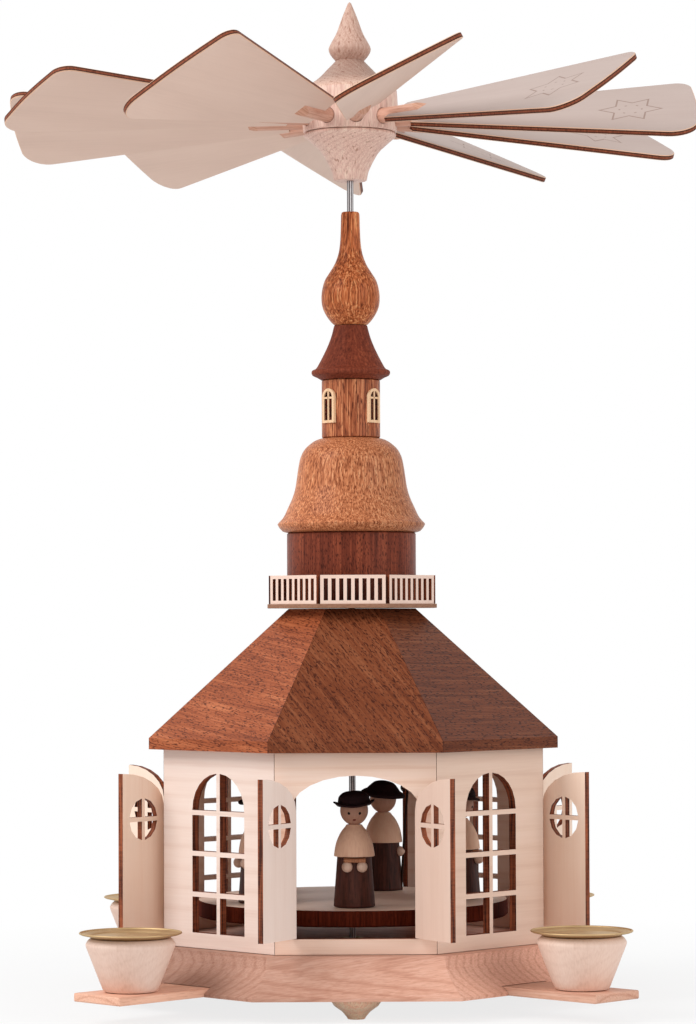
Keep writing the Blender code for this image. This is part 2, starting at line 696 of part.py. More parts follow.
def gallery():
    """Gallery floor with eight cut-out rail panels standing round its edge, all one piece."""
    builder = bmesh.new()
    edge = octagon(GALLERY_INRADIUS)
    bore = octagon(THROUGH_BORE_RADIUS)
    levels = [[[builder.verts.new((x, y, height)) for x, y in loop] for loop in (edge, bore)]
              for height in (GALLERY_BOTTOM, GALLERY_TOP)]
    for lower, upper in zip(*levels):
        for corner in range(SIDES):
            after = (corner + 1) % SIDES
            builder.faces.new([lower[corner], lower[after], upper[after], upper[corner]])
    fill_flat(builder, levels[0], [edge, bore])
    half = RAIL_WIDTH / 2
    footprint = ((-half, 0), (half, 0), (half, -RAIL_THICKNESS), (-half, -RAIL_THICKNESS))
    rings = list(levels[1])
    loops = [edge, bore]
    for index in range(SIDES):
        frame = Matrix.Translation((0, 0, GALLERY_TOP)) @ wall_frame(SIDE_ANGLE * index, RAIL_INRADIUS)
        add_board(builder, rail_loops(), 0, -RAIL_THICKNESS, None, frame, True)
        corners = [frame @ Vector((u, 0, w)) for u, w in footprint]
        rings.append([builder.verts.new(corner) for corner in corners])
        loops.append([(corner.x, corner.y) for corner in corners])
    fill_flat(builder, rings, loops)
    place("gallery", close_mesh(builder, "gallery", math.radians(20)), BIRCH)


def tower():
    """Turned tower with four flat glazing frames glued on its sides."""
    outline = [(TOWER_RADIUS, 0), (TOWER_RADIUS, TOWER_HEIGHT)]
    post = turned("tower_post", bored(outline, THROUGH_BORE_RADIUS), ROUND_SIDES)
    half = PANE_FRAME_WIDTH / 2
    bar = PANE_FRAME_BAR / 2
    spring = PANE_FRAME_LIFT + PANE_FRAME_HEIGHT - half
    arch = ellipse_arch(half, half, spring, ARCH_STEPS // 2)
    loops = [[(-half, PANE_FRAME_LIFT), (half, PANE_FRAME_LIFT), *arch]]
    inner = half - PANE_FRAME_BAR
    low = PANE_FRAME_LIFT + PANE_FRAME_BAR
    for left, right in ((-inner, -bar), (bar, inner)):
        loops.append([(left, low), (right, low), (right, spring - bar), (left, spring - bar)])
    rise = math.sqrt(inner * inner - bar * bar)
    diagonal = inner * math.sqrt(1 / 2)
    right_light = [
        (bar, spring + bar), (rise, spring + bar), (diagonal, spring + diagonal), (bar, spring + rise)]
    loops.append(right_light)
    loops.append([(-u, v) for u, v in reversed(right_light)])
    frame = sheet("pane_frame", loops, PANE_FRAME_STAND_OFF, PANE_FRAME_STAND_OFF - PANE_FRAME_DEPTH)
    frames = []
    aside = PANE_FRAME_ANGLE
    for angle in (aside, -aside, math.pi - aside, math.pi + aside):
        frames.append((frame, wall_frame(angle, TOWER_RADIUS)))
    place("tower", joined("tower", post, frames), MAHOGANY, Matrix.Translation((0, 0, TOWER_BOTTOM)))


def lantern_stack():
    """The turned pieces between the gallery and the wheel, all bored for the spindle."""
    drum = [(DRUM_RADIUS, 0), (DRUM_RADIUS, DRUM_HEIGHT)]
    bell = scaled(BELL_OUTLINE_SHARES, BELL_RADIUS, BELL_HEIGHT)
    little_roof = scaled(TOWER_ROOF_OUTLINE_SHARES, TOWER_ROOF_RADIUS, TOWER_ROOF_HEIGHT)
    spire = scaled(SPIRE_OUTLINE_SHARES, SPIRE_RADIUS, SPIRE_HEIGHT)
    stack = (
        ("drum", drum, DRUM_BOTTOM, THROUGH_BORE_RADIUS, FINE_SIDES),
        ("bell_roof", bell, BELL_BOTTOM, THROUGH_BORE_RADIUS, FINE_SIDES),
        ("tower_roof", little_roof, TOWER_ROOF_BOTTOM, THROUGH_BORE_RADIUS, ROUND_SIDES),
        ("onion_spire", spire, SPIRE_BOTTOM, GUIDE_BORE_RADIUS, ROUND_SIDES))
    for name, outline, bottom, bore, sides in stack:
        place(name, turned(name, bored(outline, bore), sides), MAHOGANY, Matrix.Translation((0, 0, bottom)))


def bearing_cup():
    """Brass footstep bearing in the base, with a conical dimple for the spindle's point."""
    height = BEARING_HEIGHT
    shape = turned("bearing_cup", [
        (0, 0), (BEARING_RADIUS, 0), (BEARING_RADIUS, height), (BEARING_DIMPLE_RADIUS, height),
        (0, height - BEARING_DIMPLE_DEPTH)], SMALL_SIDES)
    place("bearing_cup", shape, BRASS, Matrix.Translation((0, 0, BEARING_BOTTOM)))


def spindle(rotor):
    """Steel rod with a pointed foot, from the bearing up into the hub."""
    shape = turned("spindle", [
        (0, SPINDLE_BOTTOM), (SPINDLE_RADIUS, SPINDLE_BOTTOM + SPINDLE_TIP), (SPINDLE_RADIUS, SPINDLE_TOP),
        (0, SPINDLE_TOP)], DOWEL_SIDES)
    place("spindle", shape, STEEL, None, rotor)


def turntable(rotor):
    """The round stage, with the collar below it that holds it on the spindle."""
    bore = GUIDE_BORE_RADIUS
    shape = turned("turntable", [
        (bore, -COLLAR_HEIGHT), (COLLAR_RADIUS, -COLLAR_HEIGHT), (COLLAR_RADIUS, 0), (STAGE_RADIUS, 0),
        (STAGE_RADIUS, STAGE_THICKNESS), (bore, STAGE_THICKNESS)], FINE_SIDES + SIDES)
    place("turntable", shape, LINDEN, Matrix.Translation((0, 0, STAGE_BOTTOM)), rotor)


def figure_mesh(name, brim, has_pole):
    """One carved figure: robe, cape, head and hat in one turning, with hands and what they hold."""
    cape = scaled(CAPE_OUTLINE_SHARES, CAPE_RADIUS, CAPE_HEIGHT, ROBE_HEIGHT)
    chin = ROBE_HEIGHT + CAPE_HEIGHT
    centre = chin + HEAD_RADIUS * math.cos(math.asin(NECK_RADIUS / HEAD_RADIUS))
    brim_bottom = chin + HEAD_HEIGHT - BRIM_THICKNESS
    head = []
    low_angle = math.asin(NECK_RADIUS / HEAD_RADIUS)
    high_angle = math.acos((centre - brim_bottom) / HEAD_RADIUS)
    steps = ARCH_STEPS // 3
    for step in range(steps + 1):
        angle = low_angle + (high_angle - low_angle) * step / steps
        head.append((HEAD_RADIUS * math.sin(angle), centre - HEAD_RADIUS * math.cos(angle)))
    brim_top = brim_bottom + BRIM_THICKNESS
    crown_bottom = brim_top + BRIM_THICKNESS / 2
    rise = brim_top + CROWN_HEIGHT - crown_bottom
    hat = [(brim, brim_bottom + BRIM_THICKNESS / 3), (brim, brim_top), (HEAD_RADIUS, crown_bottom)]
    for step in range(1, CROWN_STEPS):
        angle = QUARTER * step / CROWN_STEPS
        hat.append((HEAD_RADIUS * math.cos(angle), crown_bottom + rise * math.sin(angle)))
    top = brim_top + CROWN_HEIGHT
    outline = [(0, 0), (ROBE_FOOT_RADIUS, 0), (ROBE_TOP_RADIUS, ROBE_HEIGHT), *cape, *head, *hat, (0, top)]
    body = turned(name + "_turning", outline, FIGURE_SIDES)
    hand = ball(name + "_hand", HAND_RADIUS, BALL_RINGS, BALL_SIDES)
    reach = -ROBE_TOP_RADIUS - HAND_RADIUS / 3
    height = ROBE_HEIGHT - HAND_DROP
    parts = [(hand, Matrix.Translation((side * HAND_SPREAD, reach, height))) for side in (-1, 1)]
    if has_pole:
        pole = round_cutter(name + "_pole", POLE_RADIUS, 0, POLE_HEIGHT, SIDES)
        knob = ball(name + "_knob", POLE_KNOB_RADIUS, BALL_RINGS, BALL_SIDES)
        spot = (-POLE_OFFSET, 0, SINK)
        parts.append((pole, Matrix.Translation(spot)))
        parts.append((knob, Matrix.Translation((-POLE_OFFSET, 0, POLE_HEIGHT))))
        grip = ball(name + "_grip", HAND_RADIUS, BALL_RINGS, BALL_SIDES)
        parts[0] = (grip, Matrix.Translation((HAND_RADIUS - POLE_OFFSET, 0, height)))
    else:
        near = reach - HAND_RADIUS / 2
        resting = height + HAND_RADIUS - SINK
        low = (-BOOK_WIDTH / 2, near, resting)
        high = (BOOK_WIDTH / 2, near + BOOK_DEPTH, resting + BOOK_THICKNESS)
        parts.append((block(name + "_book", low, high), None))
    return joined(name, body, parts)


def figures(rotor):
    """Five figures round the stage, each facing outwards."""
    plain = figure_mesh("figure_plain", BRIM_RADIUS, False)
    bearer = figure_mesh("figure_bearer", FLOPPY_BRIM_RADIUS, True)
    for number, angle in enumerate(FIGURE_ANGLES, start=1):
        shape = bearer if number == POLE_BEARER else plain
        spot = Matrix.Translation((0, -FIGURE_PLACE_RADIUS, STAGE_TOP + GAP))
        place("figure_" + str(number), shape, WALNUT, around(angle) @ spot, rotor)


def hub(rotor):
    """Turned hub in two pieces: the stem on the spindle, and the crown with its ten sockets."""
    stem_outline = scaled(STEM_OUTLINE_SHARES, STEM_RADIUS, STEM_HEIGHT)
    stem = turned("hub_stem", bored(stem_outline, GUIDE_BORE_RADIUS), ROUND_SIDES)
    place("hub_stem", stem, BEECH, Matrix.Translation((0, 0, STEM_BOTTOM)), rotor)
    finial_bottom = CROWN_BELT_HEIGHT + CROWN_CONE_HEIGHT
    waist = CROWN_NECK_RADIUS + (CROWN_RADIUS - CROWN_NECK_RADIUS) / 2
    edge = CROWN_RADIUS - CROWN_SWELL
    finial = scaled(FINIAL_OUTLINE_SHARES, FINIAL_RADIUS, FINIAL_HEIGHT, finial_bottom)
    crown = turned("hub_crown_blank", [
        (0, 0), (edge, 0), (CROWN_RADIUS, CROWN_BELT_HEIGHT / 2), (edge, CROWN_BELT_HEIGHT),
        (waist, CROWN_BELT_HEIGHT + CROWN_CONE_HEIGHT / 2), (CROWN_NECK_RADIUS, finial_bottom), *finial[1:]],
        ROUND_SIDES)
    socket_end = CROWN_RADIUS + OVERRUN
    socket = round_cutter("dowel_socket", SOCKET_RADIUS, SOCKET_FLOOR_RADIUS, socket_end, DOWEL_SIDES)
    rod_bore = round_cutter("rod_bore", GUIDE_BORE_RADIUS, -OVERRUN, SPINDLE_TOP_IN_HUB + GAP)
    lying = Matrix.Rotation(QUARTER, 4, "X")
    cutters = [(rod_bore, None)]
    for index in range(WING_COUNT):
        lift = Matrix.Translation((0, 0, WING_AXIS_LIFT))
        cutters.append((socket, lift @ around(wing_angle(index)) @ lying))
    crown = carved("hub_crown", crown, cutters)
    place("hub_crown", crown, BEECH, Matrix.Translation((0, 0, CROWN_BOTTOM)), rotor)


def wing_angle(index):
    """Angle of a wing round the hub."""
    return WING_FIRST_ANGLE + 2 * math.pi * index / WING_COUNT


def rounded_corner(before, corner, after, radius, steps):
    """Points of the arc that rounds one corner of a flat outline."""
    here = Vector(corner)
    back = (Vector(before) - here).normalized()
    ahead = (Vector(after) - here).normalized()
    half = back.angle(ahead) / 2
    centre = here + (back + ahead).normalized() * (radius / math.sin(half))
    start = here + back * (radius / math.tan(half)) - centre
    end = here + ahead * (radius / math.tan(half)) - centre
    turn = start.angle_signed(end)
    return [centre + Matrix.Rotation(-turn * step / steps, 2) @ start for step in range(steps + 1)]


def blade_outline():
    """Blade seen square on: it widens to a slanting tip with rounded corners and a bowed edge."""
    root_low = (WING_ROOT_RADIUS, -WING_ROOT_LOWER)
    tip_low = (WING_TIP_RADIUS, -WING_TIP_LOWER)
    tip_high = (WING_TIP_RADIUS - WING_TIP_SKEW, WING_TIP_UPPER)
    root_high = (WING_ROOT_RADIUS, WING_ROOT_UPPER)
    steps = ARCH_STEPS // 3
    lower = rounded_corner(root_low, tip_low, tip_high, WING_LOWER_CORNER, steps)
    upper = rounded_corner(tip_low, tip_high, root_high, WING_UPPER_CORNER, steps)
    along = upper[0] - lower[-1]
    outward = Vector((along.y, -along.x)).normalized() * WING_TIP_BULGE
    bowed = [lower[-1] + along * step / steps + outward * math.sin(math.pi * step / steps)
             for step in range(1, steps)]
    return [root_low, *lower, *bowed, *upper, root_high]


def dowel_mesh():
    """Round dowel along u, cut on the slant at its outer end on both faces of the blade."""
    builder = bmesh.new()
    rings = []
    for reach in (DOWEL_INNER_RADIUS, DOWEL_OUTER_RADIUS):
        ring = []
        for step in range(DOWEL_SIDES):
            angle = 2 * math.pi * (step + 1 / 2) / DOWEL_SIDES
            across = DOWEL_RADIUS * math.cos(angle)
            height = DOWEL_RADIUS * math.sin(angle)
            slant = DOWEL_SLANT * abs(math.sin(angle)) if reach == DOWEL_OUTER_RADIUS else 0
            ring.append(builder.verts.new((reach - slant, across, height)))
        rings.append(ring)
    inner, outer = rings
    for step in range(DOWEL_SIDES):
        after = (step + 1) % DOWEL_SIDES
        builder.faces.new([inner[step], inner[after], outer[after], outer[step]])
    builder.faces.new(inner)
    half = DOWEL_SIDES // 2
    for step in range(half - 1):
        mirror = DOWEL_SIDES - 1 - step
        builder.faces.new([outer[step], outer[step + 1], outer[mirror - 1], outer[mirror]])
    return close_mesh(builder, "wing_dowel", math.radians(35))


def wings(rotor):
    """Ten wings, each with its own dowel that turns in the hub to set the pitch."""
    half = WING_THICKNESS / 2
    blade = sheet("wing_blade", [blade_outline()], -half, half)
    shape = joined("wing", blade, [(dowel_mesh(), None)], math.radians(40))
    for index in range(WING_COUNT):
        number = str(index + 1).zfill(2)
        angle = wing_angle(index) - QUARTER
        axis = pivot("wing_axis_" + number, (0, 0, WING_AXIS_HEIGHT), rotor)
        axis.rotation_euler = (0, 0, angle)
        place("wing_" + number, shape, BIRCH, Matrix.Rotation(WING_PITCHES[index], 4, "X"), axis)


remove_scene_objects()
ALDER = finish("alder", (0.68, 0.42, 0.30), 0.55)
MAPLE = finish("maple", (0.83, 0.68, 0.56), 0.5)
BIRCH = finish("birch_ply", (0.87, 0.70, 0.55), 0.55)
LINDEN = finish("linden", (0.74, 0.58, 0.47), 0.55)
BEECH = finish("beech", (0.80, 0.62, 0.48), 0.45)
MAHOGANY = finish("mahogany", (0.36, 0.11, 0.055), 0.4)
WALNUT = finish("stained_walnut", (0.06, 0.03, 0.02), 0.5)
BRASS = finish("brass", (0.72, 0.6, 0.36), 0.3, 1.0)
STEEL = finish("steel", (0.45, 0.43, 0.44), 0.3, 1.0)

ROTOR = pivot("carousel_axis", (0, 0, 0))
base_block()
feet()
candle_holders()
door_walls()
window_walls()
door_leaves()
roof()
gallery()
lantern_stack()
tower()
bearing_cup()
spindle(ROTOR)
turntable(ROTOR)
figures(ROTOR)
hub(ROTOR)
wings(ROTOR)
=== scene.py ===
# %% [markdown]
# # The finish of a wooden candle carousel
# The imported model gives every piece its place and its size. This lesson gives them their looks:
# sawn plywood with scorched edges, turned mahogany, alder, maple and beech, brass and steel.
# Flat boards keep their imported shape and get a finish. Turned and carved pieces are made again
# with a finer outline, because a lathe leaves a truly round edge.

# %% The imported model
import math
from functools import partialmethod

import bpy
import numpy as np
from mathutils import Matrix, Vector


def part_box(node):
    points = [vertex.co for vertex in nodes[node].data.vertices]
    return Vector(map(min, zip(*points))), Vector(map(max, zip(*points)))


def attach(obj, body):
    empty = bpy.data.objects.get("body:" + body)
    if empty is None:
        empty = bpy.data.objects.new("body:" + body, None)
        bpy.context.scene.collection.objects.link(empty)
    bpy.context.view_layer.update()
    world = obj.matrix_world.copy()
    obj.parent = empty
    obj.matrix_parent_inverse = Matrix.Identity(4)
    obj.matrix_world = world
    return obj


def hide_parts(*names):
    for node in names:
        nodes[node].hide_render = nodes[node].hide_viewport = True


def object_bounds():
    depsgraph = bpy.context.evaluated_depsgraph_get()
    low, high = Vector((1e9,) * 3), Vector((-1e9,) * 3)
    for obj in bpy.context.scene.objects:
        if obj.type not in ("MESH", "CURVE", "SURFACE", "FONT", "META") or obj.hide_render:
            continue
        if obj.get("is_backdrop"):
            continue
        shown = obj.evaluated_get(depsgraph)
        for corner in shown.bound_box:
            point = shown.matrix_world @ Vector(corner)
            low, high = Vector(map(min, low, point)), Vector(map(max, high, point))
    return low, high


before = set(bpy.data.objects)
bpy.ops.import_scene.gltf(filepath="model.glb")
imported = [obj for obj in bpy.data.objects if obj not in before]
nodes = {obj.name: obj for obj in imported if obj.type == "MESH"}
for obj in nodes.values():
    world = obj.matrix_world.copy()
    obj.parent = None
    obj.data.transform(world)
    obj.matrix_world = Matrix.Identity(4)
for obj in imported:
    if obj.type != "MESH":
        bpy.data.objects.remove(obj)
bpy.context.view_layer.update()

# %% [markdown]
# The photograph was taken from a little under two metres away with a long lens, level with the
# roof and a hair to the left of the middle.

# %% Camera
CAMERA_DISTANCE, CAMERA_HEIGHT, CAMERA_LENS, SENSOR = 1.83, 0.1994, 121.2, 36
AZIMUTH, PITCH, PAN, ROLL = (math.radians(degrees) for degrees in (-0.92, 1.785, 0.055, -0.2))
QUARTER = math.pi / 2


def linked(name, data):
    """A new object that shows the given data, in the scene."""
    made = bpy.data.objects.new(name, data)
    bpy.context.scene.collection.objects.link(made)
    return made


camera = linked("camera", bpy.data.cameras.new("camera"))
camera.data.lens, camera.data.sensor_width = CAMERA_LENS, SENSOR
camera.location = (CAMERA_DISTANCE * math.sin(AZIMUTH), -CAMERA_DISTANCE * math.cos(AZIMUTH), CAMERA_HEIGHT)
facing = Matrix.Rotation(AZIMUTH + PAN, 4, "Z") @ Matrix.Rotation(QUARTER + PITCH, 4, "X")
camera.rotation_euler = (facing @ Matrix.Rotation(ROLL, 4, "Z")).to_euler()
bpy.context.scene.camera = camera
bpy.context.scene.view_settings.view_transform = "Standard"
print("camera", [round(place, 4) for place in camera.location])

# %% [markdown]
# The wide, even light of a light tent shows the wood's own colour, so one large lamp on the left
# and a weak one on the right are enough, and the rest comes from the pale room.

# %% Lamps
KEY_SHARE, FILL_SHARE, ROOM_SHARE = 0.63, 0.28, 0.59
AIM = Vector((0, 0, 0.25))


def lamp(name, azimuth, height_angle, distance, size, share):
    """A square lamp aimed at the roof. Its power makes a white board at right angles to it show
    the given share of white: power = share * (pi * distance) squared."""
    turn, rise = math.radians(azimuth), math.radians(height_angle)
    back = Vector((math.sin(turn) * math.cos(rise), -math.cos(turn) * math.cos(rise), math.sin(rise)))
    made = linked(name, bpy.data.lights.new(name, "AREA"))
    made.data.size = size
    made.data.energy = share * (math.pi * distance) ** 2
    made.location = AIM + back * distance
    made.rotation_euler = back.to_track_quat("Z", "Y").to_euler()


lamp("key_lamp", -60, 36, 2.2, 1.1, KEY_SHARE)
lamp("fill_lamp", 50, 18, 2.4, 1.4, FILL_SHARE)
print("lamps:", KEY_SHARE, FILL_SHARE, "room:", ROOM_SHARE)

# %% [markdown]
# Every finish is a small network of nodes. What a node gives out is wrapped here so that it can
# be added and multiplied like a number, and each sign adds the Math node that does the work. A
# recipe for wood then reads like a formula. Colours are written as on a screen, from 0 to 255,
# and turned into the linear numbers that Blender works with.


# %% Nodes as values
class Value:
    """What a node gives out: a number, a point or a colour."""

    def __init__(self, socket):
        self.socket, self.tree = socket, socket.id_data

    def step(self, operation, *others):
        """One step of arithmetic on numbers."""
        return add(self.tree, "Math", dict(enumerate((self, *others))), operation=operation)

    __add__ = partialmethod(step, "ADD")
    __sub__ = partialmethod(step, "SUBTRACT")
    __mul__ = partialmethod(step, "MULTIPLY")
    __truediv__ = partialmethod(step, "DIVIDE")
    __pow__ = partialmethod(step, "POWER")
    __abs__ = partialmethod(step, "ABSOLUTE")


def add(tree, kind, inputs=None, give=0, **settings):
    """One node with its options. Its sockets are given as numbers or as another node's value."""
    made = tree.nodes.new("ShaderNode" + kind)
    for option, value in settings.items():
        setattr(made, option, value)
    for socket, value in (inputs or {}).items():
        if isinstance(value, Value):
            tree.links.new(value.socket, made.inputs[socket])
        else:
            made.inputs[socket].default_value = value
    return Value(made.outputs[give])


def plug(value, socket):
    """Lead a value into a socket."""
    value.tree.links.new(value.socket, socket)


print("values can be added, taken away, multiplied, divided and raised to a power")


# %% Colours and patterns
def paint(red, green, blue):
    """Screen colour to linear light: the curve of the sRGB standard."""
    share = np.array((red, green, blue)) / 255
    linear = np.where(share <= 0.04045, share / 12.92, ((share + 0.055) / 1.055) ** 2.4)
    return (*linear.tolist(), 1.0)


def mixed(share, first, second):
    """Two colours mixed by a share from 0 to 1."""
    return add(share.tree, "Mix", {0: share, 6: first, 7: second}, 2, data_type="RGBA")


def between(value, low, high, to_low=0.0, to_high=1.0):
    """The value stretched from one range to another, and held there."""
    return add(value.tree, "MapRange", {0: value, 1: low, 2: high, 3: to_low, 4: to_high})


def ramped(tone, stops, interpolation="LINEAR"):
    """The colour that a tone from 0 to 1 picks. Each stop is a place and a linear colour."""
    colour = add(tone.tree, "ValToRGB", {0: tone})
    ramp = colour.socket.node.color_ramp
    ramp.interpolation = interpolation
    for number, (spot, shown) in enumerate(stops):
        stop = ramp.elements[number] if number < 2 else ramp.elements.new(spot)
        stop.position, stop.color = spot, shown
    return colour


def lit(colour, light):
    """A colour made lighter or darker."""
    return add(colour.tree, "HueSaturation", {"Color": colour, "Value": light})


def parts(point):
    """The three numbers of a point."""
    return [Value(number) for number in add(point.tree, "SeparateXYZ", {0: point}).socket.node.outputs]


def joined(*numbers):
    """A point from its numbers. Those left out are zero."""
    return add(numbers[0].tree, "CombineXYZ", dict(enumerate(numbers)))


def stretched(point, scale, turn=(0, 0, 0), move=(0, 0, 0)):
    """The same point in a pattern's own measure."""
    return add(point.tree, "Mapping", {0: point, 1: move, 2: turn, 3: scale})


def turned(point, angle, axis="Z_AXIS"):
    """A point or a direction turned round an axis."""
    return add(point.tree, "VectorRotate", {"Vector": point, "Angle": angle}, rotation_type=axis)


def measured_from(point, centre):
    """The point as seen from a centre."""
    return add(point.tree, "VectorMath", {0: point, 1: centre}, operation="SUBTRACT")


def speckle(point, scale, detail=2.0):
    """Soft random tone from 0 to 1 that repeats over 1 / scale along each axis."""
    return add(point.tree, "TexNoise", {"Vector": stretched(point, scale), "Scale": 1.0, "Detail": detail})


def ring_wave(point, spacing, waver, wander):
    """Rings round the third axis. Blender's wave repeats over pi / (10 * scale)."""
    return add(point.tree, "TexWave", {
        "Vector": point, "Scale": math.pi / (10 * spacing), "Distortion": waver, "Detail": 2.0,
        "Detail Scale": wander}, "Fac", wave_type="RINGS", rings_direction="Z")


print("white paint:", paint(255, 255, 255))


# %% An empty finish
def blank(name, roughness=0.5, metallic=0.0, gloss=0.22):
    """A material ready for a pattern. Oiled wood mirrors less than varnish."""
    made = bpy.data.materials.new(name)
    made.use_nodes = True
    shader = made.node_tree.nodes["Principled BSDF"].inputs
    for socket, number in (("Roughness", roughness), ("Metallic", metallic), ("Specular IOR Level", gloss)):
        shader[socket].default_value = number
    return made


def place_on(made):
    """The point on the piece, in its own measure."""
    return add(made.node_tree, "TexCoord", give="Object")


def way_out(made):
    """The direction that the surface faces."""
    return add(made.node_tree, "NewGeometry", give="True Normal")


def plugged(made, colour, height=None, depth=0.00006, strength=0.5, roughness=None):
    """The material with its colour, and with relief and roughness where they are given."""
    shader = made.node_tree.nodes["Principled BSDF"].inputs
    plug(colour, shader["Base Color"])
    if roughness:
        plug(roughness, shader["Roughness"])
    if height:
        relief = {"Height": height, "Strength": strength, "Distance": depth}
        plug(add(made.node_tree, "Bump", relief), shader["Normal"])
    return made


print("an empty finish is ready for a pattern")

# %% [markdown]
# The floor has to be as white as the room where the camera sees it, with only a soft shadow
# round the piece, but it should send a natural amount of light up to the wood. So rays that
# come straight from the camera, or by way of a mirror, see a glowing floor and room, and all
# other rays see the real ones.

# %% Room and floor
FLOOR_HALF = 4.0
FLOOR_TONE = (0.82, 0.82, 0.82, 1)
WHITE = (1, 1, 1, 1)
SHADOW_REACH = (0.16, 0.5)
SHADOW_SHARE = 0.2


def seen_directly(tree):
    """1 for a ray from the camera or a mirror, 0 for light on its way to the piece."""
    rays = tree.nodes.new("ShaderNodeLightPath").outputs
    first, mirrored, through = (
        Value(rays["Is " + kind + " Ray"]) for kind in ("Camera", "Glossy", "Transmission"))
    return first.step("MAXIMUM", mirrored).step("MAXIMUM", through)


world = bpy.data.worlds.new("room")
bpy.context.scene.world = world
world.use_nodes = True
room = world.node_tree.nodes["Background"].inputs
room["Color"].default_value = WHITE
plug(between(seen_directly(world.node_tree), 0, 1, ROOM_SHARE, 1.0), room["Strength"])

floor_shape = bpy.data.meshes.new("floor")
corners = np.array([(-1, -1, 0), (1, -1, 0), (1, 1, 0), (-1, 1, 0)]) * FLOOR_HALF
floor_shape.from_pydata(corners.tolist(), [], [(0, 1, 2, 3)])
floor = linked("floor", floor_shape)
floor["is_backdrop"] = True
pale = blank("pale_floor", 0.9)
floor_shape.materials.append(pale)
tree = pale.node_tree
plain_shader = tree.nodes["Principled BSDF"]
plain_shader.inputs["Base Color"].default_value = FLOOR_TONE
reach = add(tree, "VectorMath", {0: place_on(pale)}, "Value", operation="LENGTH")
plain = between(reach, *SHADOW_REACH, 1 - SHADOW_SHARE, 1.0)
glow = add(tree, "Emission", {"Color": WHITE, "Strength": 1.0})
cover = add(tree, "MixShader", {0: seen_directly(tree) * plain, 1: Value(plain_shader.outputs[0]), 2: glow})
plug(cover, tree.nodes["Material Output"].inputs[0])
print("floor keeps a soft shadow out to", SHADOW_REACH[1], "m")

# %% [markdown]
# Wood is one recipe with different numbers. Growth rings are rings round the pith, so a ring
# pattern round the grain direction is cut by each surface as a saw or a gouge would cut it:
# lines on a board's face, loops on a turning. Fibres are a soft noise pulled long along the
# grain, and pores are the same noise with only its peaks kept. A dense wood such as maple has
# few marks, and mahogany has many dark pores.

# %% Wood recipe
TONE_STOPS = (0.18, 0.5, 0.82)
RING_MEAN, RING_POWER, RING_WANDER = 0.28, 4.0, 0.18
RING_LONG, FIBRE_LONG, CLOUD_LONG = 0.1, 0.03, 0.3
PORE_PEAKS, CRACK_PEAKS, CRACK_SCALE = (0.54, 0.66), (0.72, 0.76), (700, 700, 26)


def wood(point, tones, ring=0.004, waver=3.0, rings=0.3, fibres=0.3, clouds=0.3, pores=0.0, cracks=0.0,
         pore_colour=(40, 15, 8), pore_size=0.0006, pore_length=0.006, fibre_size=0.0009, cloud_size=0.03):
    """Colour and height of wood whose grain runs along the third axis. tones are the dark, middle
    and light colours. Tone = half + the sum of each pattern's share times its swing, and the wave
    is raised to a power, because a year ends in a thin dark line after wide pale wood."""
    year_end = ring_wave(stretched(point, (1, 1, RING_LONG)), ring, waver, RING_WANDER) ** RING_POWER
    thread = speckle(point, (1 / fibre_size, 1 / fibre_size, FIBRE_LONG / fibre_size), 3.0)
    cloud = speckle(point, (1 / cloud_size, 1 / cloud_size, CLOUD_LONG / cloud_size))
    level = 0.5 + rings * RING_MEAN - fibres / 2 - clouds / 2
    tone = year_end * -rings + level + thread * fibres + cloud * clouds
    colour, height = ramped(tone, zip(TONE_STOPS, (paint(*shown) for shown in tones))), thread
    if pores:
        dots = speckle(point, (1 / pore_size, 1 / pore_size, 1 / pore_length), 1.0)
        dark = between(dots, *PORE_PEAKS, 0.0, pores)
        colour, height = mixed(dark, colour, paint(*pore_colour)), thread - dark
    if cracks:
        split = between(speckle(point, CRACK_SCALE, 0.0), *CRACK_PEAKS, 0.0, cracks)
        colour = mixed(split, colour, paint(*pore_colour))
    return colour, height


print("dark, middle and light tones lie at", TONE_STOPS)


# %% Seven woods
def solid_wood(name, kind, roughness=0.5, centre=(0, 0, 0), turn=(0, 0, 0), drift=None, gloss=0.22,
               **changes):
    """Wood cut from one block: the pattern goes right through it, round a pith at centre. drift
    names an axis, two places on it and how light the wood is at each."""
    made = blank(name, roughness, gloss=gloss)
    point = place_on(made)
    colour, height = wood(stretched(measured_from(point, centre), (1, 1, 1), turn), **dict(kind, **changes))
    if drift:
        colour = lit(colour, between(parts(point)[drift[0]], *drift[1:]))
    return plugged(made, colour, height)


def lighter(tones, share):
    """The same three colours, a little lighter or darker. Three shares tint them as well."""
    return np.minimum(np.round(np.array(tones) * share), 255).tolist()


ALONG_X = (0, -QUARTER, 0)
MAHOGANY = dict(tones=((88, 36, 18), (166, 90, 54), (216, 142, 92)), ring=0.005, waver=5.0, rings=0.05,
                fibres=0.95, clouds=0.3, pores=0.9, pore_colour=(88, 36, 17), pore_size=0.0007,
                pore_length=0.0036, fibre_size=0.0011)
DARK_MAHOGANY = dict(MAHOGANY, tones=((68, 26, 16), (119, 55, 37), (160, 84, 56)), pore_colour=(64, 24, 14))
MAPLE = dict(tones=((206, 172, 152), (228, 198, 182), (242, 218, 204)), ring=0.0025, rings=0.18, fibres=0.4,
             clouds=0.3, cloud_size=0.02)
BEECH = dict(tones=((196, 150, 132), (224, 184, 166), (240, 212, 190)), ring=0.0022, waver=9.0, rings=0.13,
             fibres=0.85, clouds=0.4, pores=0.32, cracks=0.6, pore_colour=(160, 106, 84), pore_size=0.0004,
             pore_length=0.0055, fibre_size=0.0007, cloud_size=0.012)
ALDER = dict(tones=((176, 120, 98), (211, 160, 138), (232, 188, 168)), ring=0.0042, waver=9.0, rings=0.17,
             fibres=0.6, clouds=0.35, pores=0.3, pore_colour=(176, 120, 98), pore_size=0.0005)
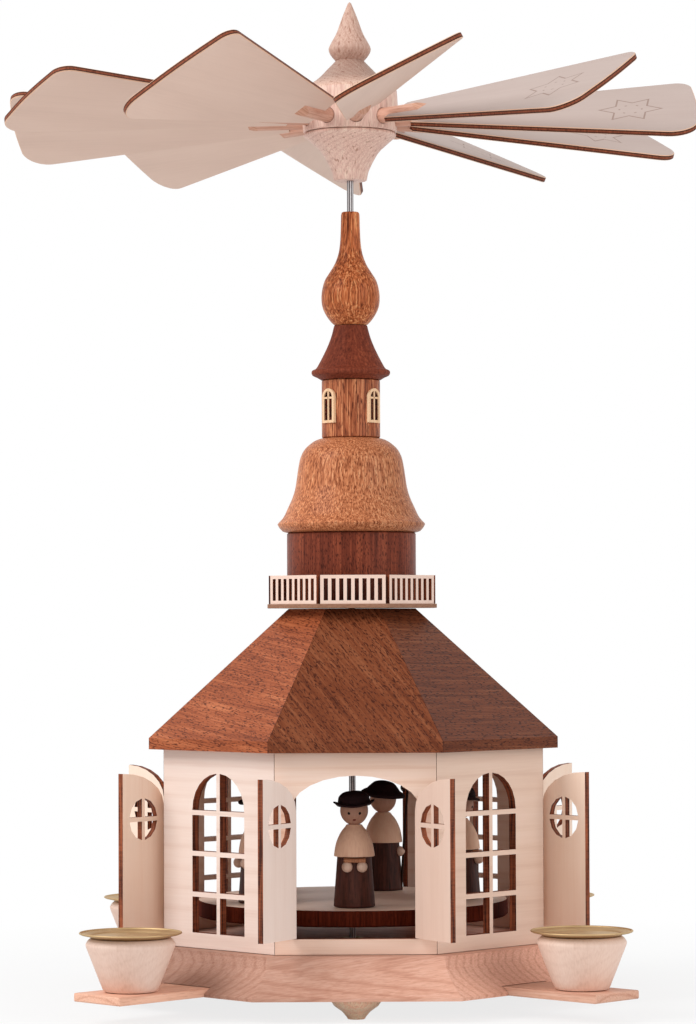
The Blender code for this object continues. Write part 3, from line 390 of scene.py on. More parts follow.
LINDEN = dict(tones=((234, 190, 164), (250, 216, 194), (254, 228, 208)), ring=0.005, rings=0.2, fibres=0.4)
BIRCH = dict(tones=((220, 185, 167), (236, 207, 191), (244, 219, 206)), ring=0.009, waver=9.0, rings=0.04,
             fibres=0.22, clouds=0.35, cloud_size=0.022)
print("woods: mahogany, dark mahogany, maple, beech, alder, linden, birch")

# %% [markdown]
# The walls, leaves and rails are sawn from birch plywood with a laser, which leaves the faces
# pale and scorches every cut edge dark brown. A face looks straight out of its board and a cut
# edge looks sideways, so the direction of the surface tells them apart. The pavilion has eight
# equal sides: turning each point back to the front side lets one finish serve all of them.

# %% Sawn plywood
SIDE_ANGLE = math.pi / 4
SCORCHED = paint(62, 26, 16), paint(158, 84, 52)
FLOOR_EDGE = paint(112, 72, 52), paint(176, 132, 106)
SIDE_STEP = 0.37
HAIR = 0.0001


def heading(point):
    """Angle round the upright axis, from the front."""
    x, y, _ = parts(point)
    return x.step("ARCTAN2", y * -1.0)


def eightfold(made):
    """Point and surface direction, turned back by whole sides: side = round(angle / 45 degrees)."""
    point = place_on(made)
    side = (heading(point) / SIDE_ANGLE).step("ROUND")
    back = side * -SIDE_ANGLE
    return turned(point, back), turned(way_out(made), back), side.step("WRAP", 8.0, 0.0)


def scorch(point):
    """Cut edge: the plies show as dark and light brown lines that follow the board's face, which
    lies in the x and z plane, and fine burn lines cross them."""
    plies = speckle(point, (40, 1100, 40), 1.0)
    burn = speckle(point, (1400, 120, 1400))
    return mixed(between(plies * 0.75 + burn * 0.25, 0.36, 0.62), *SCORCHED)


def sawn_ply(name, kind, turn_to_front=None, floor_top=None, grain=(0, 0, 0)):
    """Birch plywood standing on edge, with upright grain unless it is turned. Without an angle the
    eight sides share the finish. Below floor_top lies a board seen on its cut edge."""
    made = blank(name, 0.6)
    if turn_to_front is None:
        point, direction, side = eightfold(made)
        point = measured_from(point, joined(side * -SIDE_STEP))
    else:
        point, direction = turned(place_on(made), turn_to_front), turned(way_out(made), turn_to_front)
    cut = between(abs(parts(direction)[1]), 0.6, 0.5)
    colour, height = wood(stretched(point, (1, 1, 1), grain), **kind)
    colour = mixed(cut, colour, scorch(point))
    if floor_top:
        below = between(parts(place_on(made))[2], floor_top + HAIR, floor_top - HAIR)
        colour = mixed(below, colour, mixed(speckle(point, (500, 500, 2500)), *FLOOR_EDGE))
    return plugged(made, colour, height, 0.00003)


def finish_nodes(material, names):
    """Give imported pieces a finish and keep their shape."""
    for name in names:
        slots = nodes[name].data.materials
        slots.clear()
        slots.append(material)


print("scorched edge:", [round(part, 3) for part in SCORCHED[0][:3]])

# %% [markdown]
# The grain of the walls lies level and that of the rails and leaves stands upright. The front
# wall and leaves carry painted light and shade: the front-left ones are painted lighter and the
# front-right ones darker. The leaves at the sides are a little warmer.

# %% Walls, leaves and rails
SIDES = ("front", "right", "rear", "left")
CORNERS = ("front_right", "rear_right", "rear_left", "front_left")
GALLERY_FLOOR = 0.0021
LEAF_OPEN_ANGLES = [math.radians(degrees) for degrees in (121, 141, 121, 141)]
WALL_BIRCH = dict(BIRCH, ring=0.006, rings=0.12, fibres=0.3)
DOOR_BIRCH = dict(WALL_BIRCH, tones=((216, 170, 142), (238, 206, 186), (246, 222, 208)), rings=0.14,
                  clouds=0.5)
# Painted light and shade: the front-left wall and leaves lighter, the front-right ones darker.
WALL_PAINTED_LIGHT = {"front_left": (1.0, 1.035, 1.055), "front_right": (0.975, 0.97, 0.955)}
LEAF_PAINTED_LIGHT = {"front_left": (1.0, 1.05, 1.08), "front_right": (0.95, 0.935, 0.925)}
SIDE_LEAF = dict(BIRCH, tones=((236, 200, 174), (248, 222, 202), (252, 232, 216)))

wall_ply = sawn_ply("birch_wall", DOOR_BIRCH, grain=ALONG_X)
finish_nodes(wall_ply, ["door_wall_" + side for side in SIDES])
finish_nodes(wall_ply, ["window_wall_" + corner for corner in CORNERS])
for corner, tint in WALL_PAINTED_LIGHT.items():
    birch_with_painted_light = dict(WALL_BIRCH, tones=lighter(BIRCH["tones"], tint))
    finish_nodes(sawn_ply("birch_wall_" + corner, birch_with_painted_light, grain=ALONG_X), ["window_wall_" + corner])
finish_nodes(sawn_ply("birch_rail", BIRCH, floor_top=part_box("gallery")[0].z + GALLERY_FLOOR), ["gallery"])
for number, side in enumerate(SIDES):
    for hand, hand_name in ((1, "right"), (-1, "left")):
        leaf = side + "_" + hand_name
        lean = number * QUARTER + hand * (LEAF_OPEN_ANGLES[number] - math.pi)
        birch_with_painted_light = dict(BIRCH, tones=lighter(BIRCH["tones"], LEAF_PAINTED_LIGHT.get(leaf, 1)))
        leaf_ply = sawn_ply("birch_leaf_" + leaf, SIDE_LEAF if number % 2 else birch_with_painted_light, -lean)
        finish_nodes(leaf_ply, ["door_leaf_" + leaf])
print("plywood: 8 walls, 8 leaves, 1 gallery")

# %% [markdown]
# The roof is eight mahogany boards mitred together, and the maker turned the grain a different
# way on each. The same turn back to the front side gives each board its own number. The number
# turns the grain and picks how light the board is: each board's own tone with painted light and
# shade on top, the front-left board painted lightest and the front-right one darkest. A thin dark
# line marks the mitres.

# %% Roof boards
ROOF_SLOPE = math.radians(42.7)
GRAIN_START, GRAIN_TURN = 2.09, 1.019
BOARD_STEP = 0.11
# Board tone and painted light per board, the front-left board lightest and the front-right darkest.
BOARD_TONE_AND_PAINTED_LIGHT = (0.47, 0.38, 0.7, 0.88, 0.6, 0.83, 0.66, 0.97)
MITRE_RATIO, MITRE_WIDTH = math.tan(SIDE_ANGLE / 2) - 0.0028, 0.001

roof_finish = blank("mahogany_roof", 0.45, gloss=0.14)
point, _, side = eightfold(roof_finish)
x, y, z = parts(point)
board = joined(x, side * BOARD_STEP, z / math.sin(ROOF_SLOPE))
board = turned(board, side * GRAIN_TURN + GRAIN_START, "Y_AXIS")
board = stretched(board, (1, 1, 1), ALONG_X, (0.03, 0.08, 0))
colour, height = wood(board, **dict(
    MAHOGANY, tones=((96, 40, 21), (166, 88, 53), (218, 136, 92)), fibres=0.7, pores=0.95, pore_size=0.0006,
    pore_length=0.0022))
stops = [(number / 8, (share, share, share, 1)) for number, share in enumerate(BOARD_TONE_AND_PAINTED_LIGHT)]
colour = lit(colour, ramped(side / 8 + 1 / 16, stops, "CONSTANT"))
mitre = between(abs(x) / abs(y), MITRE_RATIO, MITRE_RATIO + MITRE_WIDTH, 0.0, 0.55)
finish_nodes(plugged(roof_finish, mixed(mitre, colour, paint(50, 20, 12)), height, 0.0001, 0.6), ["roof"])
print("roof:", len(stops), "boards")

# %% [markdown]
# The base is one thick alder block with its grain running from side to side, so the front face
# shows long wandering lines and the slanted sides show them closer together. Each candle arm
# is a thin board of the same wood with its grain along it, each painted a little lighter, most at
# the front left and least at the front right: painted light and shade.

# %% Base and arms
ARM_TONES = (176, 120, 98), (214, 166, 142), (230, 192, 172)
# Painted light and shade per arm, in the order front right, rear right, rear left, front left.
ARM_PAINTED_LIGHT = (1.02, 1.04, 1.06, 1.1)
base_wood = solid_wood("alder_base", ALDER, 0.55, (0, 0.05, -0.055), (0, 0.17 - QUARTER, 0),
                       (0, -0.1, 0.1, 0.6, 1.28), ring=0.0038, rings=0.15)
finish_nodes(base_wood, ["base_block"])
for number, corner in enumerate(CORNERS):
    lying = Matrix.Rotation(QUARTER, 3, "X") @ Matrix.Rotation(-QUARTER * (number + 0.5), 3, "Z")
    finish_nodes(solid_wood("alder_arm_" + corner, ALDER, 0.55, (0, 0, -0.02), tuple(lying.to_euler()),
                            tones=lighter(ARM_TONES, ARM_PAINTED_LIGHT[number])), ["candle_arm_" + corner])
print("alder: base and", len(CORNERS), "arms")

# %% [markdown]
# Steel and brass are metals, so their colour is the colour of what they mirror. Fine turning
# marks run round the axis, and a little unevenness keeps the pale room from looking printed
# on them. The rod carries a painted reflection: pale upright stripes of the room painted into
# its colour round the axis.

# %% Metals
REFLECTION_STRIPES = 9
BRASS_MARKS = 0.0009
steel = blank("drawn_steel", 0.34, 1.0)
point = place_on(steel)
marks = speckle(point, (120, 120, 2600))
# Painted reflection: pale upright stripes of the room, set by the angle round the rod.
painted_reflection = between((heading(point) * REFLECTION_STRIPES + 0.6).step("SINE"), -0.6, 0.8)
colour = mixed(painted_reflection, mixed(marks, paint(66, 60, 62), paint(104, 98, 100)), paint(206, 202, 202))
finish_nodes(plugged(steel, colour, roughness=between(marks, 0.3, 0.7, 0.26, 0.42)), ["spindle"])


def sheet_brass(name, centre):
    """Pressed brass: rings round the centre from spinning, and cloudy tarnish."""
    made = blank(name, 0.5, 1.0)
    point = measured_from(place_on(made), centre)
    tarnish = speckle(point, (90, 90, 90), 3.0)
    colour = mixed(tarnish, paint(178, 148, 104), paint(206, 178, 138))
    return plugged(made, colour, ring_wave(point, BRASS_MARKS, 0.6, 1.0), 0.00003, 0.15,
                   between(tarnish, 0.3, 0.7, 0.44, 0.6))


finish_nodes(sheet_brass("turned_brass", (0, 0, 0)), ["bearing_cup"])
print("metals: steel spindle, brass bearing")

# %% [markdown]
# A turning is an outline carried round an axis. The outline is given by a few points, as a
# turner marks them on the blank, and a smooth curve is drawn through them: between two points
# the curve keeps, at each, the slope of the line that joins its neighbours. Corners that the
# gouge leaves sharp end one curve and start the next.

# %% Turning
def faired(points, steps=6):
    """Smooth curve through points: cubic blend of both ends and of the slopes there, each slope
    half the way from the point before to the point after."""
    marks = np.array(points, float)
    slopes = np.gradient(marks, axis=0)
    t = np.linspace(0, 1, steps, endpoint=False)[:, None, None]
    start, end, leave, arrive = marks[:-1], marks[1:], slopes[:-1], slopes[1:]
    curve = ((2 * t**3 - 3 * t**2 + 1) * start + (t**3 - 2 * t**2 + t) * leave
             + (3 * t**2 - 2 * t**3) * end + (t**3 - t**2) * arrive)
    return np.vstack([curve.transpose(1, 0, 2).reshape(-1, 2), marks[-1:]])


def joined_runs(*runs):
    """One outline from several, without a doubled point where they meet."""
    line = np.vstack([np.array(run, float) for run in runs])
    keep = np.r_[True, np.linalg.norm(np.diff(line, axis=0), axis=1) > 1e-7]
    return line[keep]


def circle(sides):
    """Cosine and sine of even steps round a circle."""
    angle = 2 * math.pi * np.arange(sides) / sides
    return np.cos(angle), np.sin(angle)


def unit(vectors):
    """The same directions with a length of one."""
    return vectors / np.linalg.norm(vectors, axis=-1, keepdims=True)


def swung(points, angle, axis="Z"):
    """Points turned round an axis of the frame."""
    return points @ np.array(Matrix.Rotation(angle, 3, axis)).T


print("curve through three points:", len(faired([(0, 0), (1, 1), (2, 0)])), "points")


# %% Meshes from outlines
FLIPPED = [0, 3, 2, 1]


def put(name, points, faces, materials, body, replaces=(), which=None, smooth=35):
    """A finished piece: points and faces into a mesh, its finish, its body and what it stands for."""
    shape = bpy.data.meshes.new(name)
    shape.from_pydata(points.tolist(), [], faces)
    for material in materials:
        shape.materials.append(material)
    if which is not None:
        shape.polygons.foreach_set("material_index", np.asarray(which, np.int32))
    shape.validate()
    shape.shade_smooth()
    shape.set_sharp_from_angle(angle=math.radians(smooth))
    piece = linked(name, shape)
    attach(piece, body)
    if replaces:
        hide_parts(*replaces)
    return piece


def strip(rows, width, closed=False):
    """Four-cornered faces between rows of points that each go once round, and the row that each
    face starts from. A closed strip also joins the last row to the first. Corners taken in the
    FLIPPED order face the other way."""
    row, spot = np.meshgrid(np.arange(rows if closed else rows - 1), np.arange(width), indexing="ij")
    here, after, beside = row * width, (row + 1) % rows * width, (spot + 1) % width
    faces = np.stack([here + spot, here + beside, after + beside, after + spot], -1)
    return faces.reshape(-1, 4), row.ravel()


def lathe(outline, sides=96, closed=False):
    """Outline of (radius, height) rows carried round the upright axis: x = r sin a, y = -r cos a.
    Rows on the axis close the piece; a closed outline leaves a bore. Returns points, faces and
    the outline row that each face starts from."""
    rows = np.array(outline, float)
    cosine, sine = circle(sides)
    points = np.empty((len(rows), sides, 3))
    points[..., :2] = rows[:, None, :1] * np.stack([sine, -cosine], 1)
    points[..., 2] = rows[:, 1:2]
    return points.reshape(-1, 3), *strip(len(rows), sides, closed)


def sealed(points, faces, rows=None):
    """Doubled points made one, and the faces that they flatten left with three corners."""
    _, first, back = np.unique(np.round(points, 7), axis=0, return_index=True, return_inverse=True)
    back = back.ravel()
    kept = [list(dict.fromkeys(back[face].tolist())) for face in faces]
    good = [number for number, face in enumerate(kept) if len(face) > 2]
    closed = points[first], [kept[number] for number in good]
    return closed if rows is None else (*closed, rows[good])


print("corners of a cube's wall:", strip(2, 4)[0].tolist())


# %% Turned pieces
def spun(outline, sides=96, closed=False):
    """Points and faces of a turning."""
    return sealed(*lathe(outline, sides, closed)[:2])


def turning(name, outline, node, material, body="house", centre=(0, 0), bore=0.0, sides=96):
    """A turned piece that stands for a packed one."""
    rows = np.array(outline, float)
    top, foot = (bore, rows[-1, 1]), (bore, rows[0, 1])
    rows = np.vstack([rows, top, foot]) if bore else np.vstack([foot, rows, top])
    points, faces = spun(rows, sides, bool(bore))
    return put(name, points + [*centre, 0], faces, [material], body, [node])


def middle_of(node):
    """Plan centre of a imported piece."""
    low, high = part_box(node)
    return (low.x + high.x) / 2, (low.y + high.y) / 2


def sized(node, shares):
    """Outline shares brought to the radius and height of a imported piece."""
    low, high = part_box(node)
    return [(share * (high.x - low.x) / 2, low.z + rise * (high.z - low.z)) for share, rise in shares]


print("a turned cylinder:", len(spun([(0, 0), (1, 0), (1, 1), (0, 1)])[1]), "faces")

# %% The stack over the roof
BORE, GUIDE_BORE, EASE = 0.003, 0.0022, 0.0004
STACK_PORE, STACK_GLOSS = 0.0005, 0.1
bell_line = joined_runs(
    [(0.88, 0.0), (0.93, 0.012)],
    faired([(0.93, 0.012), (0.975, 0.05), (1.0, 0.088)], 4),
    faired([(1.0, 0.088), (0.985, 0.105), (0.955, 0.128), (0.908, 0.178), (0.861, 0.257), (0.794, 0.375),
            (0.756, 0.479), (0.733, 0.598), (0.709, 0.718), (0.681, 0.807), (0.624, 0.889), (0.529, 0.955),
            (0.46, 0.985), (0.396, 1.0)]))
small_roof_line = joined_runs(
    faired([(0.757, 0.0), (0.86, 0.045), (0.965, 0.08), (1.0, 0.125), (0.99, 0.165), (0.95, 0.185)]),
    faired([(0.95, 0.185), (0.91, 0.195), (0.86, 0.235), (0.775, 0.345), (0.69, 0.465), (0.575, 0.645),
            (0.485, 0.825), (0.423, 1.0)]))
spire_line = joined_runs(
    faired([(0.548, 0.0), (0.68, 0.032), (0.842, 0.09), (0.962, 0.159), (1.0, 0.235), (0.976, 0.311),
            (0.887, 0.394), (0.723, 0.464), (0.558, 0.533), (0.43, 0.617), (0.366, 0.7), (0.336, 0.81),
            (0.318, 0.975)]),
    [(0.318, 0.975), (0.3, 0.993), (0.27, 1.0)])
drum_line = [(0.99, 0.0), (1.0, 0.01), (1.0, 0.985), (0.985, 1.0)]
rail_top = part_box("gallery")[1].z
spire_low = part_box("onion_spire")[0].z
stack = {
    # The drum is painted darker below the top of the gallery rails: painted shade behind the rails.
    "drum": (drum_line, BORE, DARK_MAHOGANY, 0.4, (0.02, 0.09), dict(
        clouds=0.7, pore_length=0.002, drift=(2, rail_top - 0.002, rail_top, 0.4, 1))),
    # The bell roof is painted lighter on its left and darker on its right: painted light and shade.
    "bell_roof": (bell_line, BORE, MAHOGANY, 0.38, (0.06, 0.02), dict(
        tones=((120, 58, 32), (200, 125, 84), (238, 174, 128)), fibres=1.15, fibre_size=0.0008,
        pore_length=0.003, pore_colour=(112, 52, 28), drift=(0, -0.04, 0.04, 1.1, 0.74))),
    "tower_roof": (small_roof_line, BORE, DARK_MAHOGANY, 0.6, (-0.05, 0.03), dict(
        fibres=0.8, clouds=0.6, pores=0.5, rings=0.0, pore_length=0.0014)),
    "onion_spire": (spire_line, GUIDE_BORE, MAHOGANY, 0.38, (0.04, -0.03), dict(
        tones=((96, 42, 20), (186, 102, 60), (242, 174, 118)), fibres=1.3, fibre_size=0.0008, pores=0.7,
        drift=(2, spire_low + 0.035, spire_low + 0.052, 1, 1.13)))}
for name, (line, bore, kind, roughness, pith, changes) in stack.items():
    changes.update(gloss=STACK_GLOSS, pore_size=STACK_PORE)
    finish = solid_wood("mahogany_" + name, kind, roughness, (*pith, 0), **changes)
    turning("turned_" + name, sized(name, line), name, finish, bore=bore)
print("turned over the roof:", *stack)

# %% [markdown]
# The little tower carries four arched window frames of light wood, each a flat ring with a
# middle bar and a cross bar, glued over a black pane. A frame is a square section carried
# along its arch, so its corners stay crisp.

# %% Tower post
TOWER_RADIUS = 0.0155
tower_low, tower_high = (corner.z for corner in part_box("tower"))
post = [(TOWER_RADIUS - EASE, tower_low), (TOWER_RADIUS, tower_low + EASE), (TOWER_RADIUS, tower_high - EASE),
        (TOWER_RADIUS - EASE, tower_high)]
tower_wood = solid_wood(
    "mahogany_tower", MAHOGANY, 0.42, (0.03, 0.05, 0), gloss=0.16, fibres=1.3, clouds=0.15, pores=0.95,
    tones=((96, 42, 20), (166, 92, 58), (230, 158, 110)), pore_size=0.0006, pore_length=0.005,
    fibre_size=0.0008)
turning("turned_tower", post, "tower", tower_wood, bore=BORE)

frame_wood = solid_wood("window_wood", MAPLE, 0.55, (0.3, 0.1, 0),
                        tones=((214, 166, 122), (236, 196, 156), (246, 214, 180)))
black_pane = blank("black_pane", gloss=0.04)
dust = between(speckle(place_on(black_pane), (400, 400, 400)), 0.35, 0.7)
plugged(black_pane, mixed(dust, paint(34, 10, 6), paint(84, 30, 18)))
print("tower post:", round(tower_high - tower_low, 4), "m tall")

# %% Sections carried along a path
OUT = (0.0, 0.0, 1.0)


def carried(path, section, closed=True):
    """A closed section carried along a path, which is given as (place, across, out) rows."""
    place, across, out = path
    rows = place[:, None] + section[None, :, :1] * across[:, None] + section[None, :, 1:] * out[:, None]
    count, width = rows.shape[:2]
    faces = strip(count, width, closed)[0][:, FLIPPED].tolist()
    if not closed:
        faces += [list(range(width)), list(range((count - 1) * width, count * width))[::-1]]
    return rows.reshape(-1, 3), faces


def square(half, low, high):
    """A square section."""
    return np.array([(-half, low), (half, low), (half, high), (-half, high)])


def bar(start, end, half, low, high):
    """A straight bar of square section between two points of a flat frame."""
    ends = np.array([(*start, 0.0), (*end, 0.0)])
    along = unit(ends[1] - ends[0])
    across = np.array([(-along[1], along[0], 0.0)] * 2)
    return carried((ends, across, np.array([OUT, OUT])), square(half, low, high), False)


def gathered(pieces):
    """Several loose shapes as one."""
    points, faces, start = [], [], 0
    for shape_points, shape_faces in pieces:
        points.append(shape_points)
        faces += [[int(corner) + start for corner in face] for face in shape_faces]
        start += len(shape_points)
    return np.vstack(points), faces


def stood_up(points, angle, radius, height):
    """Flat (across, up, out) points stood on one side of the axis."""
    across, up, out = points.T
    return swung(np.stack([across, -radius - out, up + height], 1), angle)


def level(flat):
    """Points of a plane with a third number of zero."""
    return np.c_[flat, np.zeros(len(flat))]


print("a bar:", len(bar((0, 0), (1, 0), 0.1, 0, 0.1)[1]), "faces")

# %% Tower windows
PANE_WIDTH, PANE_HEIGHT, PANE_LIFT, PANE_BAR = 0.009, 0.0182, 0.0075, 0.0014
PANE_STAND, PANE_DEPTH, THIN_SHARE = 0.0009, 0.0022, 0.36
PANE_ANGLE = math.radians(49)
spring, middle = PANE_HEIGHT - PANE_WIDTH / 2, (PANE_WIDTH - PANE_BAR) / 2
low, high, thin = PANE_STAND - PANE_DEPTH, PANE_STAND, PANE_BAR * THIN_SHARE
arch = np.linspace(0, math.pi, 25)
way = np.stack([np.cos(arch), np.sin(arch)], 1)
edge = level(np.vstack([middle * way + [0, spring], [(-middle, PANE_BAR / 2), (middle, PANE_BAR / 2)]]))
outwards = level(np.vstack([way, [(-1, -1), (1, -1)]]))
window = gathered([
    carried((edge, outwards, np.array([OUT] * len(edge))), square(PANE_BAR / 2, low, high)),
    bar((0, PANE_BAR / 2), (0, PANE_HEIGHT - PANE_BAR / 2), thin, low, high * 0.8),
    bar((-middle, spring - thin), (middle, spring - thin), thin, low, high * 0.8)])
corners = list(range(2 * len(edge)))
pane = (np.vstack([edge + [0, 0, low], edge + [0, 0, HAIR]]), [
    corners[:len(edge)][::-1], corners[len(edge):], *strip(2, len(edge))[0].tolist()])
angles = PANE_ANGLE, math.pi - PANE_ANGLE, math.pi + PANE_ANGLE, -PANE_ANGLE
for number, angle in enumerate(angles, 1):
    for detail, (points, faces), material, slot in (
            ("window", window, frame_wood, "maple"), ("pane", pane, black_pane, "mahogany")):
        placed = stood_up(points, angle, TOWER_RADIUS, tower_low + PANE_LIFT)
        put("tower_" + detail + "_" + str(number), placed, faces, [material], "house")
print("tower windows:", len(angles))

# %% [markdown]
# Under the base stand four turned feet with an ogee outline, and on each arm a maple cup with
# a small rounded foot, a straight flare and a drawn-in lip. A brass dish lies on the cup: thin
# sheet, pressed flat in the middle and raised to a wide rim, with its edge rolled over.

# %% Feet
foot_line = joined_runs(
    [(0.33, 0.0), (0.35, 0.02)],
    faired([(0.35, 0.02), (0.4, 0.12), (0.46, 0.2), (0.56, 0.34), (0.72, 0.48), (0.88, 0.62), (0.95, 0.74)]),
    [(0.95, 0.74), (0.98, 0.78)], faired([(0.98, 0.78), (1.0, 0.88), (1.0, 1.0)], 4))
# The feet are the base's alder painted 1.38 times lighter: painted light that lifts them out of the shade
# under the base.
foot_wood = solid_wood("alder_foot", ALDER, 0.5, (0.01, 0.02, 0), rings=0.1,
                       tones=lighter(ALDER["tones"], 1.38))
for side in SIDES:
    node = "foot_" + side
    turning("turned_" + node, sized(node, foot_line), node, foot_wood, centre=middle_of(node),
            sides=64)
print("feet:", len(SIDES))

# %% Cups and dishes
WELL_RADIUS, SHEET, DISH_DEPTH = 0.0199, 0.0005, 0.0026
ROLL, ROLL_ANGLES = SHEET * 0.9, (-1.9, 2.6)
cup_line = joined_runs(
    faired([(0.55, 0.0), (0.585, 0.008), (0.605, 0.03)], 4), [(0.605, 0.03), (0.628, 0.05)],
    [(0.628, 0.05), (0.985, 0.82)],
    faired([(0.985, 0.82), (1.0, 0.865), (0.995, 0.9), (0.955, 0.955), (0.9, 0.995)]),
    [(0.9, 0.995), (0.87, 1.0)])


def dish_outline(rim, base):
    """A flat well, a rise to the rolled edge, and the way back one thickness of sheet higher."""
    top = base + DISH_DEPTH
    under, over = (WELL_RADIUS + 0.0008, base + 0.0006), (WELL_RADIUS + 0.0005, base + 0.0006 + SHEET)
    angle = np.linspace(*ROLL_ANGLES, 10)
    rolled = np.stack([rim - ROLL + ROLL * np.cos(angle), top - ROLL + ROLL * np.sin(angle)], 1)
    return joined_runs(
        [(0, base), (WELL_RADIUS - 0.001, base)],
        faired([(WELL_RADIUS - 0.001, base), (WELL_RADIUS, base + 0.0001), under], 4),
        [under, (rim - 2.2 * ROLL, top - 2.6 * ROLL)], rolled, [(rim - 2.6 * ROLL, top - 1.5 * ROLL), over],
        faired([over, (WELL_RADIUS - 0.0004, base + SHEET + 0.0001), (WELL_RADIUS - 0.0014, base + SHEET)],
               4),
        [(0, base + SHEET)])


for corner in CORNERS:
    node, dish = "candle_cup_" + corner, "tealight_dish_" + corner
    x, y = middle_of(node)
    finish = solid_wood("maple_cup_" + corner, MAPLE, 0.5, (x + 0.004, y + 0.003, 0), rings=0.05,
                        tones=lighter(MAPLE["tones"], 1.03 if x > 0 else 1.0))
    turning("turned_" + node, sized(node, cup_line), node, finish, centre=(x, y))
    low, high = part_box(dish)
    points, faces = spun(dish_outline((high.x - low.x) / 2, low.z))
    brass = sheet_brass("brass_" + corner, (x, y, 0))
    put("brass_" + dish, points + [x, y, 0], faces, [brass], "house", [dish], smooth=40)
print("cups and dishes:", len(CORNERS))

# %% [markdown]
# The stage is a linden disc with a dark stained rim and a collar under it. The hub is beech:
# a stem that swells like an upturned bell, and a crown with a band, a cone and a pointed
# finial. A groove shows where the two are glued.

# %% Stage
stage_low, stage_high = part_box("turntable")
stage_radius = (stage_high.x - stage_low.x) / 2
COLLAR_RADIUS, COLLAR_HEIGHT = 0.009, 0.0065
board_low = stage_low.z + COLLAR_HEIGHT
stage_line = [
    (GUIDE_BORE, stage_low.z), (COLLAR_RADIUS, stage_low.z), (COLLAR_RADIUS, board_low),
    (stage_radius - 2 * EASE, board_low), (stage_radius, board_low + 2 * EASE),
    (stage_radius, stage_high.z - 1.5 * EASE), (stage_radius - 1.5 * EASE, stage_high.z),
    (GUIDE_BORE, stage_high.z)]
points, faces, rows = sealed(*lathe(stage_line, 160, True))
RIM_ROWS = (3, 4, 5)
linden = solid_wood("linden_stage", LINDEN, 0.5, (0.02, 0.3, 0.05), ALONG_X)
dark_rim = solid_wood("dark_rim", DARK_MAHOGANY, 0.75, (0, 0, -0.2), gloss=0.02, pores=0.4,
                      tones=((48, 13, 7), (84, 30, 17), (110, 44, 26)), pore_colour=(34, 12, 8))
put("stage_board", points, faces, [linden, dark_rim], "rotor", ["turntable"],
    which=np.isin(rows, RIM_ROWS), smooth=30)
print("stage radius", round(stage_radius, 4))

# %% Hub stem
HUB_PITH = (0.012, 0.006, 0)
stem_line = joined_runs(
    [(0.34, 0.0), (0.36, 0.015)],
    faired([(0.36, 0.015), (0.4, 0.19), (0.5, 0.4), (0.623, 0.6), (0.785, 0.755), (0.93, 0.88)]),
    faired([(0.93, 0.88), (0.985, 0.92), (1.0, 0.955), (0.985, 0.985), (0.96, 1.0)], 4))
beech = solid_wood("beech_hub", BEECH, 0.45, HUB_PITH, tones=lighter(BEECH["tones"], (1.03, 1.055, 1.08)))
turning("turned_hub_stem", sized("hub_stem", stem_line), "hub_stem", beech, "rotor", bore=GUIDE_BORE)
print("stem: bored for a rod of", round(GUIDE_BORE * 2, 4), "m")

# %% [markdown]
# The crown is turned too, but its belt has ten sockets. So the belt is made in ten patches: each
# is a web of lines that run from a round hole to the edge of its tenth of the belt, and the
# neighbours share their edges. Below and above the belt the outline is carried round as before.
# The cone lays the ends of the fibres open, and end grain drinks more oil and turns darker.

# %% Belt with its sockets
WING_COUNT = 10
WING_FIRST_ANGLE = math.radians(6.4)
SECTOR = 2 * math.pi / WING_COUNT
WING_LIFT, SOCKET_RADIUS = 0.0066, 0.0043
SOCKET_FLOOR = (SOCKET_RADIUS / math.cos(math.pi / 12) + 0.0006) / math.sin(SECTOR / 2)
ROD_TOP = 0.0143
BELT_LOW, BELT_HIGH, FINIAL_NECK = 0.0006, 0.0222, 0.0385
BELT_MIDDLE, BELT_RADIUS, BELT_SWELL = 0.0118, 0.0255, 0.0006
BELT_STEPS = 12
CONE_DARK, FINIAL_LIGHT = 0.029, 0.05


def belt_radius(height):
    """Radius of the belt: it swells by a parabola towards its middle."""
    return BELT_RADIUS - BELT_SWELL * ((height - BELT_MIDDLE) / BELT_MIDDLE) ** 2


def socketed_patch(rise_steps=10, shares=(0, 0.06, 0.2, 0.45, 0.72, 1)):
    """One tenth of the belt with its socket: points (1 - t) hole + t edge, angle and height, put
    on the belt at r(height), and the hole's ring set back to the socket's floor."""
    turn = np.linspace(-SECTOR / 2, SECTOR / 2, BELT_STEPS + 1)
    rise = np.linspace(BELT_LOW, BELT_HIGH, rise_steps + 1)
    edge = np.vstack([
        np.c_[turn[:-1], np.full(BELT_STEPS, BELT_LOW)], np.c_[np.full(rise_steps, turn[-1]), rise[:-1]],
        np.c_[turn[:0:-1], np.full(BELT_STEPS, BELT_HIGH)], np.c_[np.full(rise_steps, turn[0]), rise[:0:-1]]])
    way = np.arctan2(edge[:, 1] - WING_LIFT, BELT_RADIUS * np.sin(edge[:, 0]))
    hole_height = WING_LIFT + SOCKET_RADIUS * np.sin(way)
    hole = np.c_[np.arcsin(SOCKET_RADIUS * np.cos(way) / belt_radius(hole_height)), hole_height]
    t = np.array(shares)[:, None, None]
    angle, height = np.moveaxis((1 - t) * hole + t * edge, -1, 0)
    radius = belt_radius(height)
    web = np.stack([radius * np.sin(angle), -radius * np.cos(angle), height], -1)
    floor = np.stack([web[0, :, 0], np.full(len(edge), -SOCKET_FLOOR), web[0, :, 2]], -1)
    rings = np.concatenate([floor[None], web])
    quads = strip(len(rings), len(edge))[0][:, FLIPPED]
    return rings.reshape(-1, 3), [*quads.tolist(), list(range(len(edge)))]


print("belt:", round(belt_radius(BELT_MIDDLE), 4), "m in radius, socket floor at", round(SOCKET_FLOOR, 4))

